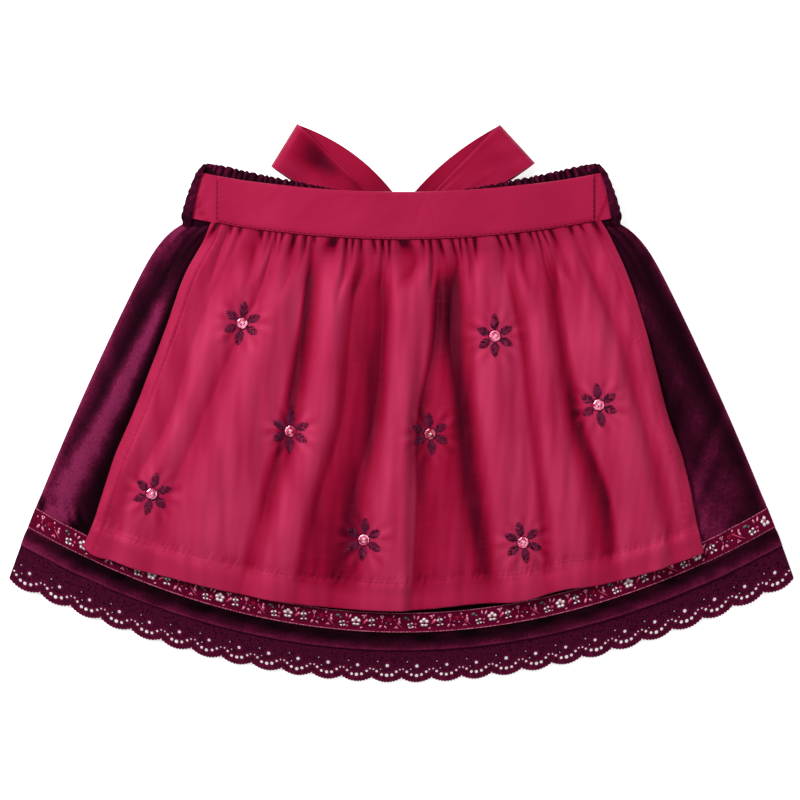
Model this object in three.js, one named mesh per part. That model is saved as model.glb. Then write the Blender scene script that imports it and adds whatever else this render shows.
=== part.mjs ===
import * as THREE from 'three';

// A small child's gathered velvet skirt with a taffeta apron, laid flat on its back, front up.
// Millimetres: X to the right side seam, Y up to the waist, Z from the surface to the viewer.

// Thickness of each cloth, and the clearance that neighbours keep at a seam
const VELVET = 1.2;
const TAFFETA = 1.0;
const TRIM = 0.8;
const LACE = 0.9;
const SEAM = 0.3;

// Clearance where one bent layer lies on another
const LIE = 0.5;

// The seam where the gathered panels meet the waist casing
const SEAM_CENTRE = 96;
const SEAM_SIDE = 108;
const SEAM_HALF = 130;

// The velvet hem; the shirred back is shorter at its middle, so it lies a little higher there
const HEM_CENTRE = -148.4;
const HEM_SIDE = -85.2;
const HEM_HALF = 228.3;
const BACK_SHORTER = 8.5;

// The gathers spring out of the casing and round the side edge
const SIDE_BULGE = 11.5;
const BULGE_RISE = 0.04;
const BULGE_POWER = 2.2;

// Woven trim above the hem, and the eyelet lace under it
const TRIM_LOW = 10.6;
const TRIM_HIGH = 22.7;
const LACE_TUCK = 4;
const LACE_DROP = 19.2;
const LACE_DROP_SIDE = 22.4;
const SCALLOPS = 26;
const SCALLOP_DEPTH = 2.8;
const LACE_WAVE = 0.5;
const LACE_SINK = 0.6;

// Waist casings, the apron's band and its ties
const CASING_FRONT = 1.6;
const CASING_BACK = 2.0;
const CASING_GATHERS = 36;
const CASING_WAVE = 1.2;
const BAND = 2.2;
const BAND_LEFT = -110.7;
const BAND_RIGHT = 115.5;
const BELT_LOOP = 1.2;
const BELT_LOOP_LEG = 3.6;

// Bow behind the waist
const KNOT_HALF = 13;
const KNOT_LOW = 101;
const KNOT_HIGH = 127;
const KNOT_HEIGHT = 4.4;
const TAIL_WIDTH = 30;

// Gathers of the velvet panels and of the apron
const PANEL_GATHERS = 24;
const APRON_GATHERS = 36;

const TAU = Math.PI * 2;

// Colour, roughness and metalness of each cloth
const CLOTHS = {
  velvet: { color: 0x2c0612, roughness: 0.85, metalness: 0 },
  taffeta: { color: 0xa8203f, roughness: 0.45, metalness: 0 },
  ribbon: { color: 0x8c2742, roughness: 0.6, metalness: 0 },
  lace: { color: 0x40171f, roughness: 0.8, metalness: 0 },
};

const lerp = (a, b, t) => a + (b - a) * t;

function smooth(low, high, value) {
  const t = Math.min(1, Math.max(0, (value - low) / (high - low)));
  return t * t * (3 - 2 * t);
}

// A value between the rows of a table, on a smooth curve through them
function along(table, key, column, value) {
  const last = table.length - 1;
  let i = 0;
  while (i < last - 1 && value > table[i + 1][key]) i += 1;
  const row = (n) => table[Math.min(last, Math.max(0, n))];
  const span = row(i + 1)[key] - row(i)[key];
  const t = (value - row(i)[key]) / span;
  if (t < 0 || t > 1) return lerp(row(i)[column], row(i + 1)[column], t);
  const slope = (n) => {
    const before = row(n - 1);
    const after = row(n + 1);
    return ((after[column] - before[column]) / (after[key] - before[key])) * span;
  };
  const t2 = t * t;
  const t3 = t2 * t;
  return (2 * t3 - 3 * t2 + 1) * row(i)[column] + (t3 - 2 * t2 + t) * slope(i)
    + (3 * t2 - 2 * t3) * row(i + 1)[column] + (t3 - t2) * slope(i + 1);
}

// Joins rows of point numbers into triangles; a row may have twice the columns of its neighbour
function stitch(rows, triangles) {
  for (let r = 0; r + 1 < rows.length; r += 1) {
    const a = rows[r];
    const b = rows[r + 1];
    if (a.length === b.length) {
      for (let c = 0; c + 1 < a.length; c += 1) {
        triangles.push([a[c], b[c], a[c + 1]], [a[c + 1], b[c], b[c + 1]]);
      }
    } else {
      for (let c = 0; c + 1 < b.length; c += 1) {
        triangles.push([a[2 * c], b[c], a[2 * c + 1]]);
        triangles.push([a[2 * c + 1], b[c], b[c + 1]]);
        triangles.push([a[2 * c + 1], b[c + 1], a[2 * c + 2]]);
      }
    }
  }
}

// A closed wall between two faces, each given as rows of points
function wall(face, back) {
  const points = [];
  const number = (rows) => rows.map((row) => row.map((point) => points.push(point) - 1));
  const front = number(face);
  const rear = number(back);
  const triangles = [];
  stitch(front, triangles);
  const behind = [];
  stitch(rear, behind);
  behind.forEach(([a, b, c]) => triangles.push([a, c, b]));
  const rim = (rows) => {
    const last = rows.length - 1;
    const right = rows.slice(1, last).map((row) => row[row.length - 1]);
    const left = rows.slice(1, last).map((row) => row[0]).reverse();
    return [...rows[0], ...right, ...rows[last].slice().reverse(), ...left];
  };
  const outer = rim(front);
  const inner = rim(rear);
  outer.forEach((point, i) => {
    const next = (i + 1) % outer.length;
    triangles.push([point, outer[next], inner[i]], [outer[next], inner[next], inner[i]]);
  });
  return closedGeometry(points, triangles);
}

// Geometry whose faces all point out, whichever way its rows ran
function closedGeometry(points, triangles) {
  let volume = 0;
  triangles.forEach(([a, b, c]) => {
    const [p, q, s] = [points[a], points[b], points[c]];
    volume += p[0] * (q[1] * s[2] - q[2] * s[1]) - p[1] * (q[0] * s[2] - q[2] * s[0])
      + p[2] * (q[0] * s[1] - q[1] * s[0]);
  });
  const faces = volume > 0 ? triangles : triangles.map(([a, b, c]) => [a, c, b]);
  const geometry = new THREE.BufferGeometry();
  geometry.setAttribute('position', new THREE.Float32BufferAttribute(points.flat(), 3));
  geometry.setIndex(faces.flat());
  geometry.computeVertexNormals();
  return geometry;
}

// A wall laid over rows and columns: place gives x and y, low the underside's height
function panel(rows, place, low, thickness) {
  const under = rows.map((row) => {
    const points = [];
    for (let c = 0; c <= row.columns; c += 1) {
      const across = c / row.columns;
      const [x, y] = place(across, row);
      points.push([x, y, low(x, y, across, row)]);
    }
    return points;
  });
  const over = under.map((row) => row.map(([x, y, z]) => [x, y, z + thickness]));
  return wall(over, under);
}

// Outlines of the skirt
function halfWidth(sideY) {
  const v = (SEAM_SIDE - sideY) / (SEAM_SIDE - HEM_SIDE);
  const bulge = SIDE_BULGE * (1 - Math.exp(-Math.max(0, v) / BULGE_RISE)) * (1 - Math.abs(v) ** BULGE_POWER);
  return lerp(SEAM_HALF, HEM_HALF, v) + bulge;
}

const seamLine = (x) => lerp(SEAM_CENTRE, SEAM_SIDE, (x / SEAM_HALF) ** 2);

// Distance of a place above the velvet hem, along the panel's own rows
function rise(x, y, shorter) {
  const centre = HEM_CENTRE + shorter;
  let above = 0;
  for (let turn = 0; turn < 5; turn += 1) {
    above = y - lerp(centre, HEM_SIDE, (x / halfWidth(HEM_SIDE + above)) ** 2);
  }
  return above;
}

// Edges of the apron's band
const bandTop = (x) => 126 + 11.5 * (Math.min(119, Math.abs(x)) / 119) ** 2;
const bandBottom = (x) => 97.2 + 13.5 * (Math.min(127, Math.abs(x)) / 127) ** 2;

// Side edge of the casings, which leans out towards the panels
function casingSide(y) {
  const t = (144 - y) / 40;
  return 116.5 + 21 * t - 7.5 * t * t;
}

// Heights of what lies behind the back casing: the ties dip to the surface between the belt
// loops at the sides and the bow at the middle
const BOW_REACH = 66;
const TIE_OVER_BOW = 4.0;
const TIE_AT_KNOT = 2.6;
const TIE_OVER_BELT = BELT_LOOP + SEAM;

function waistBed(x) {
  const bow = TIE_OVER_BOW * (1 - smooth(BOW_REACH, BOW_REACH + 30, Math.abs(x)));
  const belt = TIE_OVER_BELT * smooth(98, 115, Math.abs(x));
  return bow + belt + TAFFETA + LIE;
}

function tieLow(x) {
  const dip = (TIE_OVER_BOW - TIE_AT_KNOT) * (1 - smooth(KNOT_HALF, 30, Math.abs(x)));
  return waistBed(x) - TAFFETA - LIE - dip;
}

// What the back panel lies on: ties and bow at the waist, tails in the middle, trim at the hem
const TAIL_BED = TAFFETA + SEAM + 0.05;
const TRIM_BED = TRIM + SEAM + 0.1;

function bed(x, y) {
  const waist = waistBed(x) * (1 - smooth(1, 16, seamLine(x) - y));
  const tails = TAIL_BED * (1 - smooth(54, 70, Math.abs(x))) * smooth(-128, -110, y);
  const above = rise(x, y, BACK_SHORTER);
  const trim = TRIM_BED * smooth(4.5, 8.5, above) * (1 - smooth(25, 31, above));
  return Math.max(waist, tails, trim);
}

// Waves of the panels: gathers that fade below the casing, and broad folds that grow
const BACK_GATHER = 2.0;
const BACK_FOLD = 1.5;
const GATHER_FADE = 22;
const PUFF = 1.6;
const HIDDEN_GATHER = 0.5;
const SIDE_GATHER = 1.6;
const HIDDEN_FOLD = 0.8;

const fade = (x, y) => Math.exp(-Math.max(0, seamLine(x) - y) / GATHER_FADE);
const grow = (x, y) => smooth(10, 80, seamLine(x) - y) * smooth(5, 45, rise(x, y, BACK_SHORTER));
const seamEase = (u) => 1 - smooth(0.9, 1, Math.abs(u));
const wave = (count, across) => 0.5 - 0.5 * Math.cos(TAU * count * across);

function backLow(x, y, across) {
  const u = 2 * across - 1;
  const gathers = BACK_GATHER * fade(x, y) * wave(PANEL_GATHERS, across);
  const hump = Math.max(0, Math.sin(TAU * 4.5 * across + 1.3 * Math.sin(5 * u) + 0.6));
  return bed(x, y) + seamEase(u) * (gathers + BACK_FOLD * grow(x, y) * hump);
}

function backEnvelope(x, y, ease) {
  return bed(x, y) + VELVET + ease * (BACK_GATHER * fade(x, y) + BACK_FOLD * grow(x, y));
}

// Lace heights: each lace lies on what is under it and droops past its edge
function laceBackLow(x, y) {
  const past = Math.max(0, -2 - rise(x, y, BACK_SHORTER));
  return (VELVET + SEAM) * Math.max(0, 1 - past / (LACE_DROP - 2));
}

function laceFrontLow(x, y) {
  const over = laceBackLow(x, y) + LACE_WAVE + LACE + LIE;
  return over * lerp(LACE_SINK, 1, smooth(-28, -22.5, rise(x, y, BACK_SHORTER)));
}

// Soft ridges of the velvet beside the apron, each from one point to another in the panel's
// own measures: across (-1 to 1) and down (0 at the casing, 1 at the hem)
const SIDE_RIDGES = [
  { across: -0.835, toAcross: -0.985, down: 0.06, toDown: 1.0, width: 0.045, height: 4.2 },
  { across: -0.93, toAcross: -0.93, down: 0.3, toDown: 0.75, width: 0.03, height: 1.4 },
  { across: -0.79, toAcross: -0.86, down: 0.5, toDown: 1.0, width: 0.04, height: 1.6 },
  { across: 0.85, toAcross: 0.98, down: 0.06, toDown: 0.95, width: 0.045, height: 4.0 },
  { across: 0.93, toAcross: 0.9, down: 0.25, toDown: 0.7, width: 0.03, height: 1.2 },
  { across: 0.8, toAcross: 0.86, down: 0.55, toDown: 1.0, width: 0.04, height: 1.6 },
];

function sideRidges(u, v) {
  let height = 0;
  SIDE_RIDGES.forEach((ridge) => {
    const t = (v - ridge.down) / (ridge.toDown - ridge.down);
    const offset = (u - lerp(ridge.across, ridge.toAcross, t)) / ridge.width;
    const ends = smooth(-0.05, 0.2, t) * (1 - smooth(0.75, 1.1, t));
    height = Math.max(height, ridge.height * ends * Math.exp(-offset * offset));
  });
  return height * seamEase(u);
}

// The front's gathers lie flatter under the apron than beside it
function frontGather(u) {
  return lerp(HIDDEN_GATHER, SIDE_GATHER, smooth(0.78, 0.88, Math.abs(u)));
}

function frontLow(x, y, u, v) {
  const ease = seamEase(u);
  const hump = 0.5 + 0.5 * Math.sin(TAU * 6 * u + 1.1 * Math.sin(4 * u));
  const folds = frontGather(u) * fade(x, y) * wave(PANEL_GATHERS, (u + 1) / 2) + HIDDEN_FOLD * grow(x, y) * hump;
  const body = backEnvelope(x, y, ease) + SEAM + ease * (PUFF * grow(x, y) + folds);
  return Math.max(body, hemLift(x, y)) + sideRidges(u, v);
}

// The front's hem rides over the lace tucked under it
function hemLift(x, y) {
  const lace = laceFrontLow(x, y) + LACE_WAVE + LACE + SEAM;
  return lace * (1 - smooth(6, 16, rise(x, y, 0)));
}

// Highest that the front panel may reach at a place
function frontEnvelope(x, y) {
  const down = (seamLine(x) - y) / (seamLine(x) - y + rise(x, y, 0));
  const u = x / halfWidth(lerp(SEAM_SIDE, HEM_SIDE, down));
  const folds = frontGather(u) * fade(x, y) + HIDDEN_FOLD * grow(x, y);
  const body = backEnvelope(x, y, 1) + SEAM + PUFF * grow(x, y) + folds;
  return Math.max(body, hemLift(x, y)) + sideRidges(u, down) + VELVET;
}

// Rows of a velvet panel: from the casing by share, then by distance above the hem
const TOP_SHARES = [0, 0.035, 0.09];
const MIDDLE_SHARES = [0.17, 0.29, 0.43, 0.58, 0.78, 1];
const FRONT_HEM_ROWS = [24.5, TRIM_HIGH, TRIM_LOW, 5, 0];
const BACK_HEM_ROWS = [24.5, 9, 4.5, 0];
const TRIM_ZONE = 31;

function hemRow(distance, shorter, columns) {
  return { side: HEM_SIDE + distance, centre: HEM_CENTRE + shorter + distance, columns };
}

function velvetRows(shorter, hemRows) {
  const fine = PANEL_GATHERS * 3;
  const coarse = fine / 2;
  const trimLine = hemRow(TRIM_ZONE, shorter, coarse);
  const shared = (share, columns) => ({
    side: lerp(SEAM_SIDE, trimLine.side, share),
    centre: lerp(SEAM_CENTRE, trimLine.centre, share),
    columns,
  });
  return [
    ...TOP_SHARES.map((share) => shared(share, fine)),
    ...MIDDLE_SHARES.map((share) => shared(share, coarse)),
    ...hemRows.map((distance) => hemRow(distance, shorter, coarse)),
  ];
}

function onRow(across, row) {
  const u = 2 * across - 1;
  return [u * halfWidth(row.side), row.centre + (row.side - row.centre) * u * u];
}

const downOf = (row) => (SEAM_SIDE - row.side) / (SEAM_SIDE - HEM_SIDE);
const frontOnRow = (x, y, across, row) => frontLow(x, y, 2 * across - 1, downOf(row));

const skirtFront = () => panel(velvetRows(0, FRONT_HEM_ROWS), onRow, frontOnRow, VELVET);
const skirtBack = () => panel(velvetRows(BACK_SHORTER, BACK_HEM_ROWS), onRow, backLow, VELVET);

// Woven trim: made from the panel's own points, moved out
function trimRows(shorter) {
  return [TRIM_HIGH, TRIM_LOW].map((distance) => hemRow(distance, shorter, (PANEL_GATHERS * 3) / 2));
}

function trimFront() {
  const low = (x, y, across, row) => frontOnRow(x, y, across, row) + VELVET + SEAM;
  return panel(trimRows(0), onRow, low, TRIM);
}

const trimBack = () => panel(trimRows(BACK_SHORTER), onRow, () => 0, TRIM);

// Scalloped lace: rows from the tuck under the hem down to the scalloped edge
function laceWall(shorter, columns, base) {
  const rows = [0, 0.22, 1].map((share) => ({ share, columns }));
  const place = (across, row) => {
    const u = 2 * across - 1;
    const drop = lerp(LACE_DROP, LACE_DROP_SIDE, u ** 4);
    const scallop = SCALLOP_DEPTH * (1 - Math.abs(Math.sin(Math.PI * SCALLOPS * across)));
    const reach = lerp(LACE_TUCK, -(drop - scallop), row.share);
    return onRow(across, hemRow(reach, shorter, columns));
  };
  const low = (x, y, across, row) => {
    const ripple = LACE_WAVE * wave(SCALLOPS / 2, across) * row.share;
    return base(x, y) + ripple;
  };
  return panel(rows, place, low, LACE);
}

// Waist casings
const casingRows = (columns) => [0, 1].map((share) => ({ share, columns }));

function casingPlace(topLine) {
  return (across, row) => {
    const u = 2 * across - 1;
    const side = lerp(SEAM_SIDE + SEAM, topLine(1), row.share);
    const bottom = lerp(SEAM_CENTRE, SEAM_SIDE, u * u) + SEAM;
    return [u * casingSide(side), lerp(bottom, topLine(Math.abs(u)), row.share)];
  };
}

function casingBack() {
  const topLine = (u) => 122 + 22 * u ** 1.35;
  const place = casingPlace(topLine);
  const scalloped = (across, row) => {
    const [x, y] = place(across, row);
    return [x, y + (row.share === 1 ? 1.4 * wave(CASING_GATHERS, across) * seamEase(2 * across - 1) : 0)];
  };
  const low = (x, y, across) => {
    return waistBed(x) + CASING_WAVE * wave(CASING_GATHERS, across) * seamEase(2 * across - 1);
  };
  return panel(casingRows(CASING_GATHERS * 4), scalloped, low, CASING_BACK);
}

const casingFrontLow = (x) => waistBed(x) + CASING_WAVE + CASING_BACK + LIE;

function casingFront() {
  const topLine = (u) => 125 + 11 * u * u + 6 * smooth(0.9, 1, u);
  return panel(casingRows(48), casingPlace(topLine), casingFrontLow, CASING_FRONT);
}

// The apron's band, on the front casing
const bandLow = (x) => casingFrontLow(x) + CASING_FRONT + LIE;

function apronBand() {
  const rows = [0, 1].map((share) => ({ share, columns: 44 }));
  const place = (across, row) => {
    const x = lerp(BAND_LEFT, BAND_RIGHT, across);
    return [x, lerp(bandBottom(x), bandTop(x), row.share)];
  };
  return panel(rows, place, bandLow, BAND);
}

// Side edges of the apron, by its share of the way down
const APRON_EDGES = [
  { down: 0, left: -113.7, right: 119.1 },
  { down: 0.05, left: -117.9, right: 125.1 },
  { down: 0.15, left: -128.6, right: 134.2 },
  { down: 0.34, left: -142.0, right: 146.5 },
  { down: 0.6, left: -161.5, right: 160.2 },
  { down: 0.72, left: -171.5, right: 168.4 },
  { down: 0.93, left: -184.6, right: 177.4 },
  { down: 1, left: -190.9, right: 180.9 },
];

// Places where the apron's hem swings up or down from its even curve
const HEM_SWINGS = [
  { at: -183, width: 9, lift: -2.5 },
  { at: -190, width: 3, lift: 2.5 },
  { at: 22, width: 9, lift: 2.6 },
  { at: 97, width: 16, lift: 2.8 },
];

function apronHem(x) {
  const even = -124.3 + 36.3 * (x / 185) ** 2;
  return HEM_SWINGS.reduce((y, swing) => y + swing.lift * Math.exp(-(((x - swing.at) / swing.width) ** 2)), even);
}

// Crests and troughs of the apron, left to right: x at five heights down the cloth, and how
// far each stands off the skirt
const FOLD_HEIGHTS = { gather: 79.8, hip: 37.8, middle: -10.2, low: -58.2, hem: -94.2 };
const APRON_FOLDS = [
  { gather: -131.0, hip: -143.5, middle: -162.5, low: -181.0, hem: -192.0, height: 0.6 },
  { gather: -119.7, hip: -137.1, middle: -150.9, low: -173.7, hem: -184.0, height: 4.4 },
  { gather: -105.9, hip: -123.9, middle: -138.6, low: -165.0, hem: -175.0, height: 3.4 },
  { gather: -92.1, hip: -113.0, middle: -130.5, low: -154.0, hem: -165.0, height: 5.6 },
  { gather: -78.3, hip: -98.1, middle: -119.0, low: -138.9, hem: -148.0, height: 3.0 },
  { gather: -66.9, hip: -81.3, middle: -98.1, low: -117.9, hem: -123.3, height: 6.0 },
  { gather: -54.9, hip: -60.3, middle: -68.7, low: -89.7, hem: -101.7, height: 0.0 },
  { gather: -36.9, hip: -42.9, middle: -48.3, low: -61.5, hem: -71.1, height: 6.8 },
  { gather: -26.7, hip: -30.9, middle: -35.7, low: -49.5, hem: -57.3, height: 2.4 },
  { gather: -20.1, hip: -24.3, middle: -29.7, low: -41.1, hem: -47.7, height: 3.4 },
  { gather: -12.9, hip: -14.7, middle: -19.5, low: -29.7, hem: -38.1, height: 0.0 },
  { gather: -0.3, hip: -1.5, middle: 0.3, low: -0.9, hem: -0.9, height: 7.2 },
  { gather: 23.7, hip: 17.5, middle: 14.5, low: 13.7, hem: 14.3, height: 0.4 },
  { gather: 29.1, hip: 23.9, middle: 23.3, low: 26.1, hem: 27.3, height: 4.4 },
  { gather: 34.5, hip: 30.7, middle: 32.9, low: 39.3, hem: 40.3, height: 0.0 },
  { gather: 48.3, hip: 51.3, middle: 54.3, low: 62.7, hem: 66.3, height: 6.8 },
  { gather: 63.3, hip: 72.3, middle: 77.7, low: 83.7, hem: 86.1, height: 3.2 },
  { gather: 73.5, hip: 83.1, middle: 88.5, low: 94.5, hem: 97.3, height: 5.8 },
  { gather: 91.5, hip: 96.1, middle: 104.9, low: 119.5, hem: 122.7, height: 0.4 },
  { gather: 104.7, hip: 117.9, middle: 134.7, low: 144.3, hem: 152.1, height: 8.2 },
  { gather: 113.3, hip: 131.1, middle: 144.9, low: 156.9, hem: 163.5, height: 3.6 },
  { gather: 122.1, hip: 140.3, middle: 153.3, low: 166.5, hem: 173.1, height: 5.2 },
  { gather: 135.5, hip: 148.5, middle: 160.8, low: 175.5, hem: 182.0, height: 0.6 },
];

// The same folds as tables by height, for the smooth curve through each
const FOLD_LINES = APRON_FOLDS.map((fold) => {
  const places = Object.entries(FOLD_HEIGHTS).map(([level, y]) => ({ depth: -y, x: fold[level] }));
  return { height: fold.height, places };
});

function apronFold(x, y) {
  const lines = FOLD_LINES.map((line) => ({ x: along(line.places, 'depth', 'x', -y), height: line.height }));
  const last = lines.length - 1;
  if (x <= lines[0].x) return lines[0].height;
  if (x >= lines[last].x) return lines[last].height;
  let i = 0;
  while (x > lines[i + 1].x) i += 1;
  return lerp(lines[i].height, lines[i + 1].height, smooth(lines[i].x, lines[i + 1].x, x));
}

// Gathers where the apron meets its band, joining two and two into the folds
const APRON_GATHER = 2.2;
const APRON_PLEAT = 2.0;
const APRON_CLEAR = 0.7;

function apronPlace(across, row) {
  const left = along(APRON_EDGES, 'down', 'left', row.down);
  const right = along(APRON_EDGES, 'down', 'right', row.down);
  const xTop = lerp(APRON_EDGES[0].left, APRON_EDGES[0].right, across);
  const bottom = APRON_EDGES[APRON_EDGES.length - 1];
  const xHem = lerp(bottom.left, bottom.right, across);
  return [lerp(left, right, across), lerp(bandBottom(xTop) - SEAM, apronHem(xHem), row.down)];
}

function apronLow(x, y, across, row) {
  const trimmed = (TRIM + SEAM) * (1 - smooth(26, 36, rise(x, y, 0)));
  const base = frontEnvelope(x, y) + APRON_CLEAR + trimmed;
  const gathers = APRON_GATHER * wave(APRON_GATHERS, across) * Math.exp(-row.down / 0.045);
  const pleats = APRON_PLEAT * wave(APRON_GATHERS / 2, across) * Math.exp(-(((row.down - 0.09) / 0.06) ** 2));
  const sides = smooth(0, 0.03, across) * (1 - smooth(0.97, 1, across));
  const share = lerp(0.1, 1, smooth(0.02, 0.2, row.down)) * (1 - 0.3 * smooth(0.6, 1, row.down));
  return base + sides * (gathers + pleats) + share * apronFold(x, y);
}

function apronPanel() {
  const fine = [0, 0.03, 0.075].map((down) => ({ down, columns: APRON_GATHERS * 4 }));
  const coarse = [0.13, 0.2, 0.3, 0.42, 0.55, 0.68, 0.81, 0.92, 1];
  const rows = [...fine, ...coarse.map((down) => ({ down, columns: APRON_GATHERS * 2 }))];
  return panel(rows, apronPlace, apronLow, TAFFETA);
}

// A strip bent along a path in its own plane, made from the middle line of its thickness
function bentStrip(path, lines, thickness, locate) {
  const face = [];
  const back = [];
  lines.forEach((line) => {
    const middle = path(line);
    const outer = [];
    const inner = [];
    middle.forEach(([r, z], i) => {
      const before = middle[Math.max(0, i - 1)];
      const after = middle[Math.min(middle.length - 1, i + 1)];
      const length = Math.hypot(after[0] - before[0], after[1] - before[1]);
      const nr = (after[1] - before[1]) / length;
      const nz = -(after[0] - before[0]) / length;
      outer.push(locate(r + (nr * thickness) / 2, z + (nz * thickness) / 2, line));
      inner.push(locate(r - (nr * thickness) / 2, z - (nz * thickness) / 2, line));
    });
    face.push(outer);
    back.push(inner);
  });
  return wall(face, back);
}

// Path round the side edge of the casings: across the back, round the edge and over the front
function roundTheEdge(edge, backRun, frontRun, low, high) {
  const bend = 0.7;
  return [
    ...backRun,
    [edge - bend, low],
    [edge - 0.2 * bend, low + 0.25 * bend],
    [edge, low + bend],
    [edge, high - bend],
    [edge - 0.2 * bend, high - 0.25 * bend],
    [edge - bend, high],
    ...frontRun,
  ];
}

// A tie: from the end of the band, through the belt loop, round the side and back to the knot
function tie(side, bandEnd) {
  const start = KNOT_HALF + SEAM;
  const backPlaces = [start, 22, 30, 45, 60, 67, 73, 79, 85, 90, 97, 104, 107, 110, 113, 117];
  const half = TAFFETA / 2;
  const clear = SEAM + half;
  const path = (share) => {
    const edge = casingSide(lerp(bandBottom(127), bandTop(119), share)) + clear;
    const backRun = backPlaces.map((x) => [x, tieLow(x) + half]);
    const high = bandLow(edge) + half;
    const frontStart = Math.abs(bandEnd) + SEAM;
    const frontRun = [[lerp(edge, frontStart, 0.5), high], [frontStart, bandLow(frontStart) + half]];
    return roundTheEdge(edge, backRun, frontRun, TIE_OVER_BELT + half, high);
  };
  const locate = (x, z, share) => {
    const narrow = 1 - smooth(start, 55, x);
    const low = lerp(bandBottom(x), 105, narrow);
    const high = lerp(bandTop(x), 123, narrow);
    return [side * x, lerp(low, high, share), z];
  };
  return bentStrip(path, [0, 0.5, 1], TAFFETA, locate);
}

// A velvet belt loop, sewn to the side seam above and below the tie
function beltLoop(side) {
  const half = BELT_LOOP / 2;
  const path = (y) => {
    const held = smooth(138.5, 142, y) + (1 - smooth(108.8, 110.2, y));
    const over = (1 - held) * (TAFFETA + LIE);
    const edge = casingSide(y) + SEAM + half + over;
    const back = casingSide(y) - BELT_LOOP_LEG;
    const high = bandLow(edge) + half + over;
    return roundTheEdge(edge, [[back, half]], [[back, high]], half, high);
  };
  const locate = (x, z, y) => [side * x, y, z];
  return bentStrip(path, [108.8, 110.4, 119, 128, 138.4, 142.8], BELT_LOOP, locate);
}

// Bow loops: corners of each in the plane of the surface. near is the layer towards the viewer,
// far the layer on the surface; each edge bends past a middle point.
const BOW_LOOPS = {
  left: {
    side: -1,
    foldHigh: [62.7, 167.5],
    foldLow: [78.3, 142],
    near: { high: [13.3, 120], bendHigh: [38, 144], low: [13.3, 108], bendLow: [52, 125] },
    far: { high: [13.3, 119], bendHigh: [9, 156], low: [13.3, 106], bendLow: [45, 118] },
  },
  right: {
    side: 1,
    foldHigh: [59.1, 167],
    foldLow: [80.1, 144],
    near: { high: [13.3, 120], bendHigh: [34, 143], low: [13.3, 108], bendLow: [55, 127] },
    far: { high: [13.3, 119], bendHigh: [22, 149], low: [13.3, 106], bendLow: [45, 118] },
  },
};

function bend(from, past, to, t) {
  const a = (1 - t) * (1 - t);
  const b = 2 * t * (1 - t);
  return [0, 1].map((axis) => a * from[axis] + b * past[axis] + t * t * to[axis]);
}

function bowLoop(shape) {
  const length = 75;
  const turn = 0.93;
  const upper = (t) => 2.3 + 1.2 * smooth(0, 0.3, t) + 5.0 * smooth(0.62, 0.93, t);
  const edgePoint = (layer, t, share) => {
    const high = bend(layer.high, layer.bendHigh, shape.foldHigh, t);
    const low = bend(layer.low, layer.bendLow, shape.foldLow, t);
    return [lerp(low[0], high[0], share), lerp(low[1], high[1], share)];
  };
  const runs = [0, 0.15, 0.3, 0.45, 0.6, 0.7, 0.8, 0.88, turn];
  const turns = [-60, -30, 0, 30, 60].map((degrees) => (degrees * Math.PI) / 180);
  const surface = (share, inset) => {
    const top = upper(turn);
    const locate = (t, z, nearness) => {
      const far = edgePoint(shape.far, t, share);
      const near = edgePoint(shape.near, t, share);
      return [shape.side * lerp(far[0], near[0], nearness), lerp(far[1], near[1], nearness), z];
    };
    const reach = 1 - turn - inset / length;
    return [
      ...runs.map((t) => locate(t, inset, 0)),
      ...turns.map((angle) => {
        const rise = (Math.sin(angle) + 1) / 2;
        const z = top / 2 + (top / 2 - inset) * Math.sin(angle);
        return locate(turn + reach * Math.cos(angle), z, rise);
      }),
      ...runs.slice().reverse().map((t) => locate(t, upper(t) - inset, 1)),
    ];
  };
  const shares = [0, 0.33, 0.67, 1];
  return wall(shares.map((share) => surface(share, 0)), shares.map((share) => surface(share, TAFFETA)));
}

function bowKnot() {
  const rows = [-1, -0.8, -0.4, 0, 0.4, 0.8, 1];
  const columns = [-1, -0.9, -0.6, -0.2, 0.2, 0.6, 0.9, 1];
  const dome = (a, b) => 1.6 + (KNOT_HEIGHT - 1.6) * ((1 - a ** 4) * (1 - b ** 4)) ** 0.5;
  const place = (a, b) => [
    a * (KNOT_HALF - 1.6 * b * b),
    lerp(KNOT_LOW, KNOT_HIGH, (b + 1) / 2),
  ];
  const top = rows.map((b) => columns.map((a) => [...place(a, b), dome(a, b)]));
  const under = rows.map((b) => columns.map((a) => [...place(a, b), 0]));
  return wall(top, under);
}

function bowTail(side, length) {
  const rows = [];
  for (let i = 0; i <= 12; i += 1) rows.push({ down: i / 12, columns: 2 });
  const place = (across, row) => {
    const centre = 7 + 10 * smooth(0, 0.3, row.down) + 14 * row.down;
    const half = lerp(6, TAIL_WIDTH / 2, smooth(0, 0.35, row.down));
    const slant = 10 * row.down ** 8 * across;
    const x = centre + half * (2 * across - 1);
    return [side * x, KNOT_LOW - SEAM - length * row.down - slant];
  };
  return panel(rows, place, () => 0, TAFFETA);
}

const skirt = new THREE.Group();

function add(name, cloth, geometry) {
  const mesh = new THREE.Mesh(geometry, new THREE.MeshStandardMaterial(CLOTHS[cloth]));
  mesh.name = name;
  skirt.add(mesh);
}

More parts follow.
